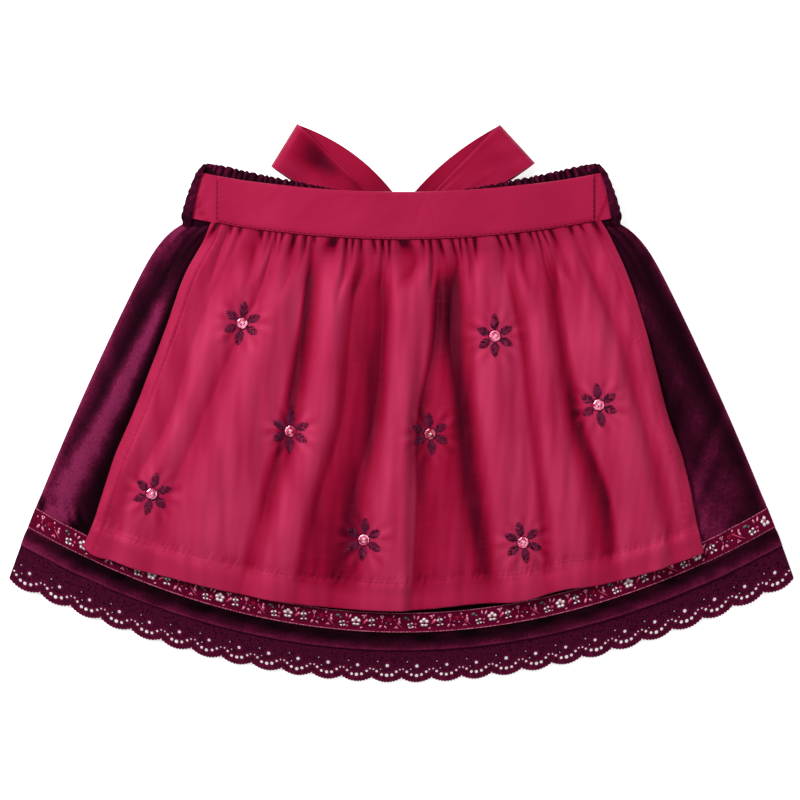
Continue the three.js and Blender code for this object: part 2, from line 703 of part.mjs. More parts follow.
add('skirt_front', 'velvet', skirtFront());
add('skirt_back', 'velvet', skirtBack());
add('casing_front', 'velvet', casingFront());
add('casing_back', 'velvet', casingBack());
add('belt_loop_left', 'velvet', beltLoop(-1));
add('belt_loop_right', 'velvet', beltLoop(1));
add('trim_front', 'ribbon', trimFront());
add('trim_back', 'ribbon', trimBack());
add('lace_front', 'lace', laceWall(0, SCALLOPS * 4, laceFrontLow));
add('lace_back', 'lace', laceWall(BACK_SHORTER, SCALLOPS * 3, laceBackLow));
add('apron_panel', 'taffeta', apronPanel());
add('apron_band', 'taffeta', apronBand());
add('tie_left', 'taffeta', tie(-1, BAND_LEFT));
add('tie_right', 'taffeta', tie(1, BAND_RIGHT));
add('bow_knot', 'taffeta', bowKnot());
add('bow_loop_left', 'taffeta', bowLoop(BOW_LOOPS.left));
add('bow_loop_right', 'taffeta', bowLoop(BOW_LOOPS.right));
add('bow_tail_left', 'taffeta', bowTail(-1, 162));
add('bow_tail_right', 'taffeta', bowTail(1, 154));

export default skirt;
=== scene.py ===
# %% [markdown]
# # A child's velvet skirt with a taffeta apron
# The real thing is a gathered velvet skirt, trimmed at its hem with a woven ribbon and eyelet lace.
# Over it lies a crimson taffeta apron with stitched flowers, tied in a bow behind the waist. The
# whole set lies flat on its back on a pale table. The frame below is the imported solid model: it
# fixes every size and place, and each cloth made here takes the place of one of its solids.

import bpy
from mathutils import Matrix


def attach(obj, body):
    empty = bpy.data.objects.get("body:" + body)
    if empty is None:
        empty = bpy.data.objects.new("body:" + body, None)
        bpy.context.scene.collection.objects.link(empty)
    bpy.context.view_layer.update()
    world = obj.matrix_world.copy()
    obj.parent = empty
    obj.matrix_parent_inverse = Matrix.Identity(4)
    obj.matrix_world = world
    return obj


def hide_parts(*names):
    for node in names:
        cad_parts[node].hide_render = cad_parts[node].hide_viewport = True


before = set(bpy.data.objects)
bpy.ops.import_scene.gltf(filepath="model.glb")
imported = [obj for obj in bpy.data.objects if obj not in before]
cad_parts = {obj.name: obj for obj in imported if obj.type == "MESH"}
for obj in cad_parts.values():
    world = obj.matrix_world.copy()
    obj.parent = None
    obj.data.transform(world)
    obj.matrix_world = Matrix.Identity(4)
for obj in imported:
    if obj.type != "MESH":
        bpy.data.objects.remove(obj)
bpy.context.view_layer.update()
print("solids:", sorted(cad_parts))

# %% Libraries and units
import math

import bpy
import numpy as np
from mathutils import Vector
from mathutils.bvhtree import BVHTree
from mathutils.geometry import delaunay_2d_cdt

MM = 0.001
TAU = 2 * math.pi
scene = bpy.context.scene

# %% [markdown]
# ## Camera
# A flat garment is photographed from a stand straight above it. A long lens from far away keeps the
# outline free of perspective. Everything here is sized at 0.6 mm to a pixel of an 800-pixel image,
# so the camera's height follows from the lens, the sensor and the width that it has to see.

# %% Camera straight above
PIXEL = 0.6
IMAGE_PIXELS = 800
SEEN_WIDTH = IMAGE_PIXELS * PIXEL
LENS = 100
SENSOR = 36
AIM = (-0.9, 1.8)
AIM_HEIGHT = 4

lens = bpy.data.cameras.new("camera")
lens.lens = LENS
lens.sensor_width = SENSOR
camera = bpy.data.objects.new("camera", lens)
camera_height = SEEN_WIDTH * LENS / SENSOR + AIM_HEIGHT
camera.location = (AIM[0] * MM, AIM[1] * MM, camera_height * MM)
scene.collection.objects.link(camera)
scene.camera = camera
print("camera height:", round(camera_height), "mm")

# %% [markdown]
# ## Light and floor
# The set was lit by a broad soft light from the upper left, with a weaker one opposite. Broad area
# lights give taffeta its long soft highlights, and a dim room keeps the folds deep. The Standard
# view keeps crimson as saturated as cloth dye is, where a film-like view would wash it out.

# %% Soft studio light
def area_light(name, power, size, place):
    lamp = bpy.data.lights.new(name, "AREA")
    lamp.shape = "DISK"
    lamp.energy = power
    lamp.size = size
    holder = bpy.data.objects.new(name, lamp)
    holder.location = place
    holder.rotation_euler = (-Vector(place)).to_track_quat("-Z", "Y").to_euler()
    scene.collection.objects.link(holder)
    print(name, power, "W")


area_light("key light", 21, 0.6, (-0.75, 0.65, 1.1))
area_light("fill light", 4.5, 0.9, (0.85, 0.2, 1.1))

world = bpy.data.worlds.new("white room")
world.use_nodes = True
world.node_tree.nodes["Background"].inputs["Color"].default_value = (1, 1, 1, 1)
world.node_tree.nodes["Background"].inputs["Strength"].default_value = 0.3
scene.world = world
scene.view_settings.view_transform = "Standard"
scene.view_settings.look = "None"

# %% [markdown]
# The floor is a white light table: a diffusing sheet that also glows a little by itself. That is
# how a garment is shot free of its shadow, and it is why the lace's eyelets look white.

# %% White floor
FLOOR_SIZE = 6.0
FLOOR_DROP = 0.0003

floor_mesh = bpy.data.meshes.new("floor")
half_floor = FLOOR_SIZE / 2
corners = [(x * half_floor, y * half_floor, 0) for x, y in ((-1, -1), (1, -1), (1, 1), (-1, 1))]
floor_mesh.from_pydata(corners, [], [(0, 1, 2, 3)])
floor = bpy.data.objects.new("floor", floor_mesh)
floor.location.z = -FLOOR_DROP
scene.collection.objects.link(floor)
paper = bpy.data.materials.new("white paper")
paper.use_nodes = True
paper_shader = paper.node_tree.nodes["Principled BSDF"]
paper_shader.inputs["Base Color"].default_value = (0.93, 0.93, 0.93, 1)
paper_shader.inputs["Roughness"].default_value = 0.9
paper_shader.inputs["Specular IOR Level"].default_value = 0.1
paper_shader.inputs["Emission Color"].default_value = (1, 1, 1, 1)
paper_shader.inputs["Emission Strength"].default_value = 0.6
floor_mesh.materials.append(paper)

# %% [markdown]
# ## Curves that cloth is drawn with
# All cloth here is made from height functions over its own rows and columns: a numpy array of
# places goes in, an array of heights comes out. A smooth step, a wave, a crumple made of a few
# sines in fixed directions, and a smooth curve through a short table are all that they need.

# %% Curve helpers
def lerp(a, b, t):
    return a + (b - a) * t


def smooth(low, high, value):
    t = np.clip((value - low) / (high - low), 0, 1)
    return t * t * (3 - 2 * t)


def wave(count, across):
    return 0.5 - 0.5 * np.cos(TAU * count * across)


def bump(at, width, value):
    return np.exp(-(((value - at) / width) ** 2))


def crumple(x, y, size, seed, tall=1.0, waves=7):
    """Uneven waves about one high, size mm long and tall times longer in y."""
    draw = np.random.default_rng(seed)
    total = np.zeros_like(np.asarray(x, float) + np.asarray(y, float))
    for _ in range(waves):
        turn = draw.uniform(0, math.pi)
        length = size * draw.uniform(0.6, 1.7)
        start = draw.uniform(0, TAU)
        total += np.sin((x * math.cos(turn) + y / tall * math.sin(turn)) * TAU / length + start)
    return total / math.sqrt(waves / 2)


def through(keys, values, at):
    """A smooth curve through a table's rows, straight past its ends."""
    keys, values = np.asarray(keys, float), np.asarray(values, float)
    at = np.asarray(at, float)
    last = len(keys) - 1
    i = np.clip(np.searchsorted(keys, at, side="right") - 1, 0, last - 1)
    span = keys[i + 1] - keys[i]
    t = (at - keys[i]) / span

    def slope(n):
        before, after = np.maximum(n - 1, 0), np.minimum(n + 1, last)
        return (values[after] - values[before]) / (keys[after] - keys[before]) * span

    t2, t3 = t * t, t * t * t
    curve = ((2 * t3 - 3 * t2 + 1) * values[i] + (t3 - 2 * t2 + t) * slope(i)
             + (3 * t2 - 2 * t3) * values[i + 1] + (t3 - t2) * slope(i + 1))
    straight = lerp(values[i], values[i + 1], t)
    return np.where((t < 0) | (t > 1), straight, curve)


print("half way up a smooth step:", smooth(0, 1, 0.5))

# %% [markdown]
# ## From points to cloth
# A piece of cloth is a closed wall: an upper face, an under face and a rim between them. Both faces
# have the same rows and columns, so one function can number the quads of any piece. Near a cut or
# folded edge the rows lie closer and the wall is rounded off, which is where real cloth catches
# light. Each point also keeps its place in the flat cut, in millimetres, as the attribute "lay".
# Weaves and prints are drawn in those coordinates, so they follow the cloth and not the room. The
# third number of "lay" says how light the cloth is painted there, from 0 to 1: painted shade down in
# folds, notches and creases and beside the apron, painted highlights on crests, ridges and round
# edges, with some random mottling mixed in. The lace keeps its bound edges there.

# %% Mesh helpers
def wall_faces(rows, columns):
    number = np.arange(rows * columns).reshape(rows, columns)
    count = rows * columns
    corners = number[:-1, :-1], number[:-1, 1:], number[1:, 1:], number[1:, :-1]
    quads = np.stack(corners, -1).reshape(-1, 4)
    loop = np.concatenate([number[0], number[1:, -1], number[-1, -2::-1], number[-2:0:-1, 0]])
    after = np.roll(loop, -1)
    rim = np.stack([after, loop, loop + count, after + count], -1)
    return np.concatenate([quads, quads[:, ::-1] + count, rim])


def signed_volume(points, faces):
    """Six times the volume of a closed mesh of quads, below zero when it is inside out."""
    a, b, c, d = (points[faces[:, i]] for i in range(4))
    return float((np.cross(a, b) * c).sum() + (np.cross(a, c) * d).sum())


def show(mesh, material):
    """Puts a mesh into the scene as an object of the same name."""
    mesh.materials.append(material)
    piece = bpy.data.objects.new(mesh.name, mesh)
    scene.collection.objects.link(piece)
    return piece


def new_piece(name, points, faces, material, sharp_degrees=None):
    """A mesh object from points in millimetres and quads or triangles."""
    mesh = bpy.data.meshes.new(name)
    faces = faces if isinstance(faces, list) else faces.tolist()
    mesh.from_pydata((np.asarray(points) * MM).tolist(), [], faces)
    mesh.shade_smooth()
    if sharp_degrees is not None:
        mesh.set_sharp_from_angle(angle=math.radians(sharp_degrees))
    return show(mesh, material)


def keep_lay(piece, values):
    """Keeps three numbers for each point of a piece."""
    attribute = piece.data.attributes.new("lay", "FLOAT_VECTOR", "POINT")
    attribute.data.foreach_set("vector", np.asarray(values, np.float32).ravel())


def keep_tint(piece, domain, tints, repeats):
    """Keeps a colour for each point or face corner of a piece."""
    attribute = piece.data.attributes.new("tint", "FLOAT_COLOR", domain)
    attribute.data.foreach_set("color", np.repeat(np.array(tints), repeats, 0).astype(np.float32).ravel())


def cloth(name, under, over, lay, material, sharp_degrees=60):
    """A closed wall between two grids of points, each rows by columns by three."""
    rows, columns = under.shape[:2]
    points = np.concatenate([over.reshape(-1, 3), under.reshape(-1, 3)])
    faces = wall_faces(rows, columns)
    if signed_volume(points, faces) < 0:
        faces = faces[:, ::-1]
    piece = new_piece(name, points, faces, material, sharp_degrees)
    flat = lay.reshape(-1, 3)
    keep_lay(piece, np.concatenate([flat, flat]))
    print(name, len(faces) * 2, "triangles")
    return piece


def rounded(edge, radius):
    """From 0 at the cut edge to 1 at a radius from it, as a quarter circle."""
    return np.sqrt(1 - (1 - np.clip(edge / radius, 0, 1)) ** 2)


RIM_STEPS = np.array([0, 0.25, 0.7, 1.4, 2.4])
RIM_TO_INNER = 1.6


def edged(low, high, count, unit=1.0):
    """Even places from low to high, with a few closer ones near both ends. A unit is one millimetre."""
    steps = RIM_STEPS * unit
    margin = steps[-1] * RIM_TO_INNER
    inner = np.linspace(low + margin, high - margin, count)
    return np.concatenate([low + steps, inner, (high - steps)[::-1]])


def stack(*parts):
    return np.stack(np.broadcast_arrays(*parts), -1)


# %% [markdown]
# ## Shader helpers
# Materials are built as node trees in code. A short helper that adds a node, sets its inputs and
# returns it keeps each recipe to a few lines. Effects that several cloths share are node groups:
# they take the place on the cloth and a scale, and give out only a height or a mask.

# %% Node helpers
def feed(tree, socket, value):
    """Links an output to a socket, or sets the socket to a value."""
    if hasattr(value, "is_output"):
        tree.links.new(value, socket)
    else:
        socket.default_value = value


def add_node(tree, kind, settings=None, **inputs):
    made = tree.nodes.new(kind)
    for key, value in (settings or {}).items():
        setattr(made, key, value)
    for key, value in inputs.items():
        numbered = key[0] == "i" and key[1:].isdigit()
        feed(tree, made.inputs[int(key[1:]) if numbered else key.replace("_", " ")], value)
    return made


def math_node(tree, operation, a, b=0.0):
    return add_node(tree, "ShaderNodeMath", {"operation": operation}, i0=a, i1=b).outputs[0]


def plus(tree, a, b):
    return math_node(tree, "ADD", a, b)


def minus(tree, a, b):
    return math_node(tree, "SUBTRACT", a, b)


def times(tree, a, b):
    return math_node(tree, "MULTIPLY", a, b)


def axes_of(tree, place):
    """The three numbers of a place, each as a socket."""
    return add_node(tree, "ShaderNodeSeparateXYZ", i0=place).outputs


def stretched(tree, place, by):
    return add_node(tree, "ShaderNodeVectorMath", {"operation": "MULTIPLY"}, i0=place, i1=by).outputs[0]


def noise(tree, place, scale, detail, **more):
    made = add_node(tree, "ShaderNodeTexNoise", Vector=place, Scale=scale, Detail=detail, **more)
    return made.outputs["Fac"]


def mix_colours(tree, share, a, b, blend="MIX"):
    made = add_node(tree, "ShaderNodeMix", {"data_type": "RGBA", "blend_type": blend})
    for index, value in ((0, share), (6, a), (7, b)):
        feed(tree, made.inputs[index], value)
    return made.outputs[2]


def ramp(tree, value, low, high, start=0.0, end=1.0):
    return add_node(tree, "ShaderNodeMapRange", {"interpolation_type": "SMOOTHSTEP"}, Value=value,
                    From_Min=low, From_Max=high, To_Min=start, To_Max=end).outputs["Result"]


def new_group(name, numbers, outputs):
    """A node group that takes the place on the cloth and some numbers, and gives out masks."""
    group = bpy.data.node_groups.new(name, "ShaderNodeTree")
    group.interface.new_socket(name="Place", in_out="INPUT", socket_type="NodeSocketVector")
    for label, value in numbers.items():
        socket = group.interface.new_socket(name=label, in_out="INPUT", socket_type="NodeSocketFloat")
        socket.default_value = value
    for label in outputs:
        group.interface.new_socket(name=label, in_out="OUTPUT", socket_type="NodeSocketFloat")
    entry = group.nodes.new("NodeGroupInput")
    leave = group.nodes.new("NodeGroupOutput")
    return group, entry.outputs, leave.inputs


def use_group(tree, group, **inputs):
    return add_node(tree, "ShaderNodeGroup", {"node_tree": group}, **inputs)


def colour_ramp(tree, value, stops):
    """Colours set at shares of a value; each stop is a share and its three swatch numbers."""
    made = add_node(tree, "ShaderNodeValToRGB", Fac=value)
    elements = made.color_ramp.elements
    while len(elements) < len(stops):
        elements.new(0.5)
    for element, (share, swatch) in zip(elements, stops):
        element.position = share
        element.color = colour(*swatch)
    return made.outputs["Color"]


def colour(red, green, blue):
    """A linear colour from the three 0 to 255 numbers that a swatch is read in."""
    def linear(value):
        share = value / 255
        return share / 12.92 if share <= 0.04045 else ((share + 0.055) / 1.055) ** 2.4

    return linear(red), linear(green), linear(blue), 1.0


# %% [markdown]
# ## Plain weave
# Taffeta and ribbon are plain weaves: each thread goes over one and under one. A checkerboard says
# which thread is on top, and a sine across the thread gives its round back. Some weft threads of
# silk-like taffeta are thicker, the slubs. They show as faint short lines along the weft.

# %% Group: woven threads
def make_weave():
    numbers = {"Pitch": 0.3, "Slub": 0.5}
    group, inside, out = new_group("Woven threads", numbers, ["Height", "Slubs"])
    axes = axes_of(group, inside["Place"])
    sines = []
    for axis in axes[:2]:
        turn = math_node(group, "DIVIDE", times(group, axis, math.pi), inside["Pitch"])
        sines.append(math_node(group, "SINE", turn))
    warp_up = ramp(group, times(group, sines[0], sines[1]), -0.15, 0.15)
    warp = times(group, math_node(group, "ABSOLUTE", sines[0]), warp_up)
    weft = times(group, math_node(group, "ABSOLUTE", sines[1]), minus(group, 1.0, warp_up))
    along_weft = stretched(group, inside["Place"], (0.045, 1.9, 1.0))
    thick = noise(group, along_weft, 1.0, 2.0, Roughness=0.6)
    slubs = times(group, ramp(group, thick, 0.56, 0.74), inside["Slub"])
    group.links.new(plus(group, plus(group, warp, weft), slubs), out["Height"])
    group.links.new(slubs, out["Slubs"])
    return group


WEAVE = make_weave()

# %% [markdown]
# ## Velvet pile
# Velvet is a forest of short upright hairs. Two things are seen of it: a fine grain, and broad
# clouds where the pile has been brushed one way or the other, so that the same cloth looks almost
# black or plum. The group gives the grain as a height and the clouds as a mask. It also gives
# random specks as a mask, which the velvet paints lighter as painted glints.

# %% Group: brushed pile
def make_pile():
    numbers = {"Cloud size": 30.0}
    group, inside, out = new_group("Brushed pile", numbers, ["Height", "Brushed", "Glint"])
    size = inside["Cloud size"]
    spread = add_node(group, "ShaderNodeCombineXYZ", i0=size, i1=times(group, size, 2.2), i2=size)
    scaled = add_node(group, "ShaderNodeVectorMath", {"operation": "DIVIDE"}, i0=inside["Place"],
                      i1=spread.outputs[0])
    grain = noise(group, inside["Place"], 0.8, 3.0, Roughness=0.8)
    cloud = noise(group, scaled.outputs[0], 1.0, 5.0, Roughness=0.62, Distortion=0.6)
    # Random specks for the Glint mask, which the velvet paints lighter as painted glints.
    speck = noise(group, inside["Place"], 1.3, 1.0, Roughness=0.5)
    group.links.new(grain, out["Height"])
    group.links.new(ramp(group, cloud, 0.38, 0.66), out["Brushed"])
    group.links.new(ramp(group, speck, 0.55, 0.75), out["Glint"])
    return group


PILE = make_pile()

# %% [markdown]
# ## Spun thread
# Embroidery floss, sewing thread and the lace's stitches are twisted yarn. Seen close, a yarn has
# slanting lines where its plies wrap round each other. One group draws them for all threads.

# %% Group: twisted yarn
def make_yarn():
    group, inside, out = new_group("Twisted yarn", {"Turns": 6.0}, ["Height", "Shade"])
    axes = axes_of(group, inside["Place"])
    slant = plus(group, axes[0], times(group, axes[1], 0.6))
    plies = math_node(group, "SINE", times(group, slant, inside["Turns"]))
    group.links.new(plies, out["Height"])
    group.links.new(ramp(group, noise(group, inside["Place"], 0.8, 2.0), 0.35, 0.65), out["Shade"])
    return group


YARN = make_yarn()

# %% [markdown]
# ## Puckers of a stitched hem
# Sewing draws taffeta in, so short slanting creases cross every line of stitches. They are finer
# than the mesh, so they are drawn in the shader: noise stretched across the line, which fades out
# with distance from it. The taffeta raises them with a bump and also paints them into its colour as
# painted shade and light. The group needs only the place in the flat cut and the hem's sizes.

# %% Group: stitch puckers
APRON_CUT_WIDTH, APRON_CUT_LENGTH, APRON_LENGTH = 385, 243, 221
SIDE_HEM, BOTTOM_HEM = 6.0, 17.0
SIDE_LINE_TOP, SIDE_LINE_HEM = 9.9, 6.2


def make_puckers():
    group, inside, out = new_group("Stitch puckers", {}, ["Height"])
    axes = axes_of(group, inside["Place"])

    def creases(along, past, above, below, strength):
        slant = plus(group, times(group, along, 0.34), times(group, past, 0.1))
        place = add_node(group, "ShaderNodeCombineXYZ", i0=slant, i1=times(group, past, 0.06)).outputs[0]
        sharp = ramp(group, noise(group, place, 1.0, 2.0, Roughness=0.6), 0.36, 0.64, -0.5, 0.5)
        near = times(group, ramp(group, past, -above, -0.5), ramp(group, past, 0.5, below, 1.0, 0.0))
        runs = add_node(group, "ShaderNodeTexNoise", {"noise_dimensions": "1D"},
                        W=along, Scale=0.09, Detail=1.0).outputs["Fac"]
        uneven = ramp(group, runs, 0.35, 0.65, 0.35 * strength, strength)
        return times(group, times(group, sharp, near), uneven)

    hem_line = APRON_CUT_LENGTH * (1 - BOTTOM_HEM / APRON_LENGTH)
    bottom = creases(axes[0], minus(group, axes[1], hem_line), 9.0, 5.0, 0.8)
    inset = ramp(group, axes[1], 0.0, APRON_CUT_LENGTH, SIDE_LINE_TOP, SIDE_LINE_HEM)
    side_line = minus(group, APRON_CUT_WIDTH / 2, inset)
    from_line = minus(group, math_node(group, "ABSOLUTE", axes[0]), side_line)
    side = creases(axes[1], from_line, 5.0, 4.0, 0.3)
    group.links.new(plus(group, bottom, side), out["Height"])
    return group


PUCKERS = make_puckers()

# %% [markdown]
# ## Materials
# Each material keeps its Principled shader in the open, with what is the same all over set on the
# shader's own sockets. Velvet has a faint sheen, a soft reflection at grazing angles; its light edges
# and dark valleys are painted into its colour. Taffeta is smooth filament: a moderate gloss over a
# deep crimson that shows pinker where it shines, with painted light and shade in its folds.

# %% Material helper
def new_material(name, roughness, gloss, gloss_tint=(255, 255, 255), settings=None):
    material = bpy.data.materials.new(name)
    material.use_nodes = True
    tree = material.node_tree
    shader = tree.nodes["Principled BSDF"]
    shader.inputs["Roughness"].default_value = roughness
    shader.inputs["Specular IOR Level"].default_value = gloss
    shader.inputs["Specular Tint"].default_value = colour(*gloss_tint)
    for socket, value in (settings or {}).items():
        shader.inputs[socket].default_value = value
    place = add_node(tree, "ShaderNodeAttribute", {"attribute_name": "lay"}).outputs["Vector"]
    return material, tree, shader, place


def paint(tree, shader, colours):
    tree.links.new(colours, shader.inputs["Base Color"])


def raise_from(tree, shader, height, strength, distance):
    made = add_node(tree, "ShaderNodeBump", Height=height, Strength=strength, Distance=distance * MM)
    tree.links.new(made.outputs["Normal"], shader.inputs["Normal"])


# %% Velvet
def make_velvet():
    sheen = {"Sheen Weight": 0.05, "Sheen Roughness": 0.3, "Sheen Tint": colour(190, 60, 110)}
    material, tree, shader, place = new_material("plum velvet", 0.95, 0.03, settings=sheen)
    pile = use_group(tree, PILE, Place=place, Cloud_size=13.0).outputs
    # The third number of lay is the velvet's painted light and shade; random grain, pile clouds and painted
    # glints vary it.
    pile_and_light = axes_of(tree, place)[2]
    cloudy = times(tree, minus(tree, pile["Brushed"], 0.5), 0.09)
    grain = ramp(tree, pile["Height"], 0.36, 0.64, -0.5, 0.5)
    grainy = times(tree, grain, 0.26)
    glints = times(tree, pile["Glint"], 0.1)
    uneven = plus(tree, plus(tree, cloudy, grainy), glints)
    reach = plus(tree, times(tree, pile_and_light, 0.8), 0.3)
    shown = plus(tree, pile_and_light, times(tree, uneven, reach))
    paint(tree, shader, colour_ramp(tree, shown, [
        (0.0, (6, 1, 3)), (0.2, (30, 3, 15)), (0.45, (53, 7, 28)),
        (0.72, (86, 15, 46)), (1.0, (118, 32, 70))]))
    raise_from(tree, shader, pile["Height"], 0.5, 0.35)
    return material


VELVET_CLOTH = make_velvet()


# %% Taffeta
def make_taffeta():
    material, tree, shader, place = new_material("crimson taffeta", 0.44, 0.27, (255, 96, 140))
    weave = use_group(tree, WEAVE, Place=place, Pitch=0.32, Slub=0.8).outputs
    dye = noise(tree, stretched(tree, place, (0.02, 0.008, 0.02)), 1.0, 3.0)
    # The third number of lay is the taffeta's painted light and shade.
    lit = axes_of(tree, place)[2]
    wavering = times(tree, minus(tree, dye, 0.5), 0.12)
    puckers = use_group(tree, PUCKERS, Place=place).outputs["Height"]
    # The puckers are also painted into the colour, as shade and light, and raised by the bump below.
    shown = plus(tree, plus(tree, lit, wavering), times(tree, puckers, 0.3))
    body = colour_ramp(tree, shown, [
        (0.0, (48, 0, 13)), (0.2, (92, 1, 27)), (0.45, (138, 7, 42)),
        (0.72, (160, 27, 65)), (1.0, (182, 50, 87))])
    slub_light = times(tree, weave["Slubs"], 0.14)
    paint(tree, shader, mix_colours(tree, slub_light, body, colour(190, 50, 90)))
    high = plus(tree, weave["Height"], times(tree, puckers, 2.2))
    raise_from(tree, shader, high, 0.25, 0.12)
    return material


TAFFETA_CLOTH = make_taffeta()

# %% [markdown]
# The ribbon's ground is wine red with fine cross ribs, and a pink edge thread runs along each side.
# Its flowers are woven on top and are made as raised floats further on. The lace is cotton batiste
# covered with plum stitching: the ground between the stitches is almost black, and the bound edge
# of the scallops is a little lighter.

# %% Ribbon ground
RIBBON_WIDTH = 12.1
EDGE_THREAD = 0.3
EDGE_THREAD_WIDTH = 0.3


def make_ribbon():
    material, tree, shader, place = new_material("wine ribbon", 0.6, 0.08, (255, 100, 140))
    weave = use_group(tree, WEAVE, Place=place, Pitch=0.42, Slub=0.2).outputs
    down = axes_of(tree, place)[1]
    middle = math_node(tree, "ABSOLUTE", minus(tree, down, RIBBON_WIDTH / 2))
    from_edge = minus(tree, RIBBON_WIDTH / 2, middle)
    thread_end = EDGE_THREAD + EDGE_THREAD_WIDTH
    inner = ramp(tree, from_edge, EDGE_THREAD - 0.1, EDGE_THREAD)
    outer = ramp(tree, from_edge, thread_end, thread_end + 0.15, 1.0, 0.0)
    line = times(tree, inner, outer)
    dashes = noise(tree, place, 1.6, 1.0)
    thread = mix_colours(tree, ramp(tree, dashes, 0.4, 0.6), colour(112, 30, 56), colour(190, 112, 130))
    ground = mix_colours(tree, ramp(tree, dashes, 0.3, 0.7), colour(74, 3, 30), colour(100, 7, 44))
    paint(tree, shader, mix_colours(tree, line, ground, thread))
    raise_from(tree, shader, plus(tree, weave["Height"], line), 0.4, 0.15)
    return material


RIBBON_CLOTH = make_ribbon()


# %% Lace
def make_lace():
    material, tree, shader, place = new_material("plum eyelet lace", 0.85, 0.04, (255, 110, 160))
    yarn = use_group(tree, YARN, Place=place, Turns=9.0).outputs
    cells = add_node(tree, "ShaderNodeTexVoronoi", {"feature": "F1"}, Vector=place, Scale=0.72)
    stitched = ramp(tree, cells.outputs["Distance"], 0.2, 0.46)
    border = axes_of(tree, place)[2]
    ground = mix_colours(tree, stitched, colour(6, 0, 3), colour(58, 10, 32))
    shaded = mix_colours(tree, times(tree, yarn["Shade"], 0.5), ground, colour(80, 18, 46))
    paint(tree, shader, mix_colours(tree, border, shaded, colour(92, 15, 48)))
    high = plus(tree, stitched, times(tree, yarn["Height"], 0.25))
    raise_from(tree, shader, high, 0.6, 0.3)
    return material


LACE_CLOTH = make_lace()

# %% [markdown]
# Threads differ only in colour and roughness, so one recipe makes them all. The second number of a
# thread's "lay" is a random share, one for each stitch, that makes some threads lighter.

# %% Threads
def make_thread(name, dark, light, roughness):
    material, tree, shader, place = new_material(name, roughness, 0.1, (255, 110, 160))
    share = axes_of(tree, place)[1]
    yarn = use_group(tree, YARN, Place=place, Turns=11.0).outputs
    paint(tree, shader, mix_colours(tree, share, dark, light))
    raise_from(tree, shader, yarn["Height"], 0.5, 0.06)
    return material


PLUM_THREAD = make_thread("plum floss", colour(44, 6, 25), colour(126, 48, 86), 0.55)
CRIMSON_THREAD = make_thread("crimson thread", colour(50, 2, 18), colour(158, 22, 60), 0.6)


# %% Woven floats of the ribbon
def make_float():
    material, tree, shader, place = new_material("ribbon floats", 0.55, 0.15, (255, 190, 210))
    tint = add_node(tree, "ShaderNodeAttribute", {"attribute_name": "tint"}).outputs["Color"]
    yarn = use_group(tree, YARN, Place=place, Turns=8.0).outputs
    darker = mix_colours(tree, 0.2, tint, colour(90, 10, 40))
    paint(tree, shader, mix_colours(tree, yarn["Shade"], darker, tint))
    raise_from(tree, shader, yarn["Height"], 0.4, 0.08)
    return material


FLOAT_CLOTH = make_float()

# %% [markdown]
# A cup sequin is thin faceted plastic with a coloured metal film: each flat facet mirrors another
# part of the room, so its neighbours differ sharply. Facets are real faces here, each painted its
# own tint, pale pink to deep red, as a painted reflection, with a painted glare in patches. The bead
# that holds it down is glassy, painted lighter in patches as painted highlights.

# %% Sequin and bead
def make_sequin():
    film_coat = {"Metallic": 0.3, "Coat Weight": 0.35, "Coat Roughness": 0.08}
    material, tree, shader, place = new_material("pink sequin", 0.25, 0.5, settings=film_coat)
    tint = add_node(tree, "ShaderNodeAttribute", {"attribute_name": "tint"}).outputs["Color"]
    # Painted glare: noisy patches mixed towards pale pink, as painted highlights on the film.
    film = noise(tree, place, 1.5, 1.0)
    glare = ramp(tree, film, 0.45, 0.7, 0.0, 0.2)
    paint(tree, shader, mix_colours(tree, glare, tint, colour(255, 190, 215)))
    raise_from(tree, shader, film, 0.15, 0.1)
    return material


def make_bead():
    coat = {"Coat Weight": 1.0, "Coat Roughness": 0.03}
    material, tree, shader, place = new_material("glass bead", 0.08, 0.8, settings=coat)
    # Pink glass painted lighter towards white in noisy patches, as painted highlights.
    glint_patches = ramp(tree, noise(tree, place, 2.0, 1.0), 0.4, 0.6)
    paint(tree, shader, mix_colours(tree, glint_patches, colour(226, 120, 160), colour(255, 205, 224)))
    return material


SEQUIN_FILM = make_sequin()
BEAD_GLASS = make_bead()
print("materials:", len(bpy.data.materials))

# %% [markdown]
# ## The cut, in millimetres
# These are the garment's own measures: the same that its solids were made with. Every layer's
# height is worked out from the layer below, so the cloths lie on each other and never cross.

# %% Sizes of the cut
VELVET, TAFFETA, RIBBON, LACE = 1.2, 1.0, 0.8, 0.9
SEAM, LIE = 0.3, 0.5
SEAM_CENTRE, SEAM_SIDE, SEAM_HALF = 96, 108, 130
HEM_CENTRE, HEM_SIDE, HEM_HALF = -148.4, -85.2, 228.3
BACK_SHORTER = 8.5
RIBBON_LOW, RIBBON_HIGH, RIBBON_ZONE = 10.6, 22.7, 31
LACE_TUCK, LACE_DROP, LACE_DROP_SIDE = 4, 19.2, 22.4
SCALLOPS, SCALLOP_DEPTH, LACE_WAVE = 26, 2.8, 0.5
CASING_FRONT, CASING_BACK, CASING_WAVE = 1.6, 2.0, 1.2
BAND, BAND_LEFT, BAND_RIGHT = 2.2, -110.7, 115.5
BELT_LOOP, BELT_LOOP_LEG = 1.2, 3.6
KNOT_HALF, KNOT_LOW, KNOT_HIGH, KNOT_HEIGHT = 13, 101, 127, 4.4
PANEL_GATHERS, APRON_GATHERS = 24, 36
ROW_ROUNDS = 5
BACK_GATHER, BACK_HUMP = 2.0, 1.5
FRONT_RISE, FRONT_HUMP = 1.6, 0.8


def way_down(side):
    """Share of the way from the seam to the hem, by the height of a row's side."""
    return (SEAM_SIDE - side) / (SEAM_SIDE - HEM_SIDE)


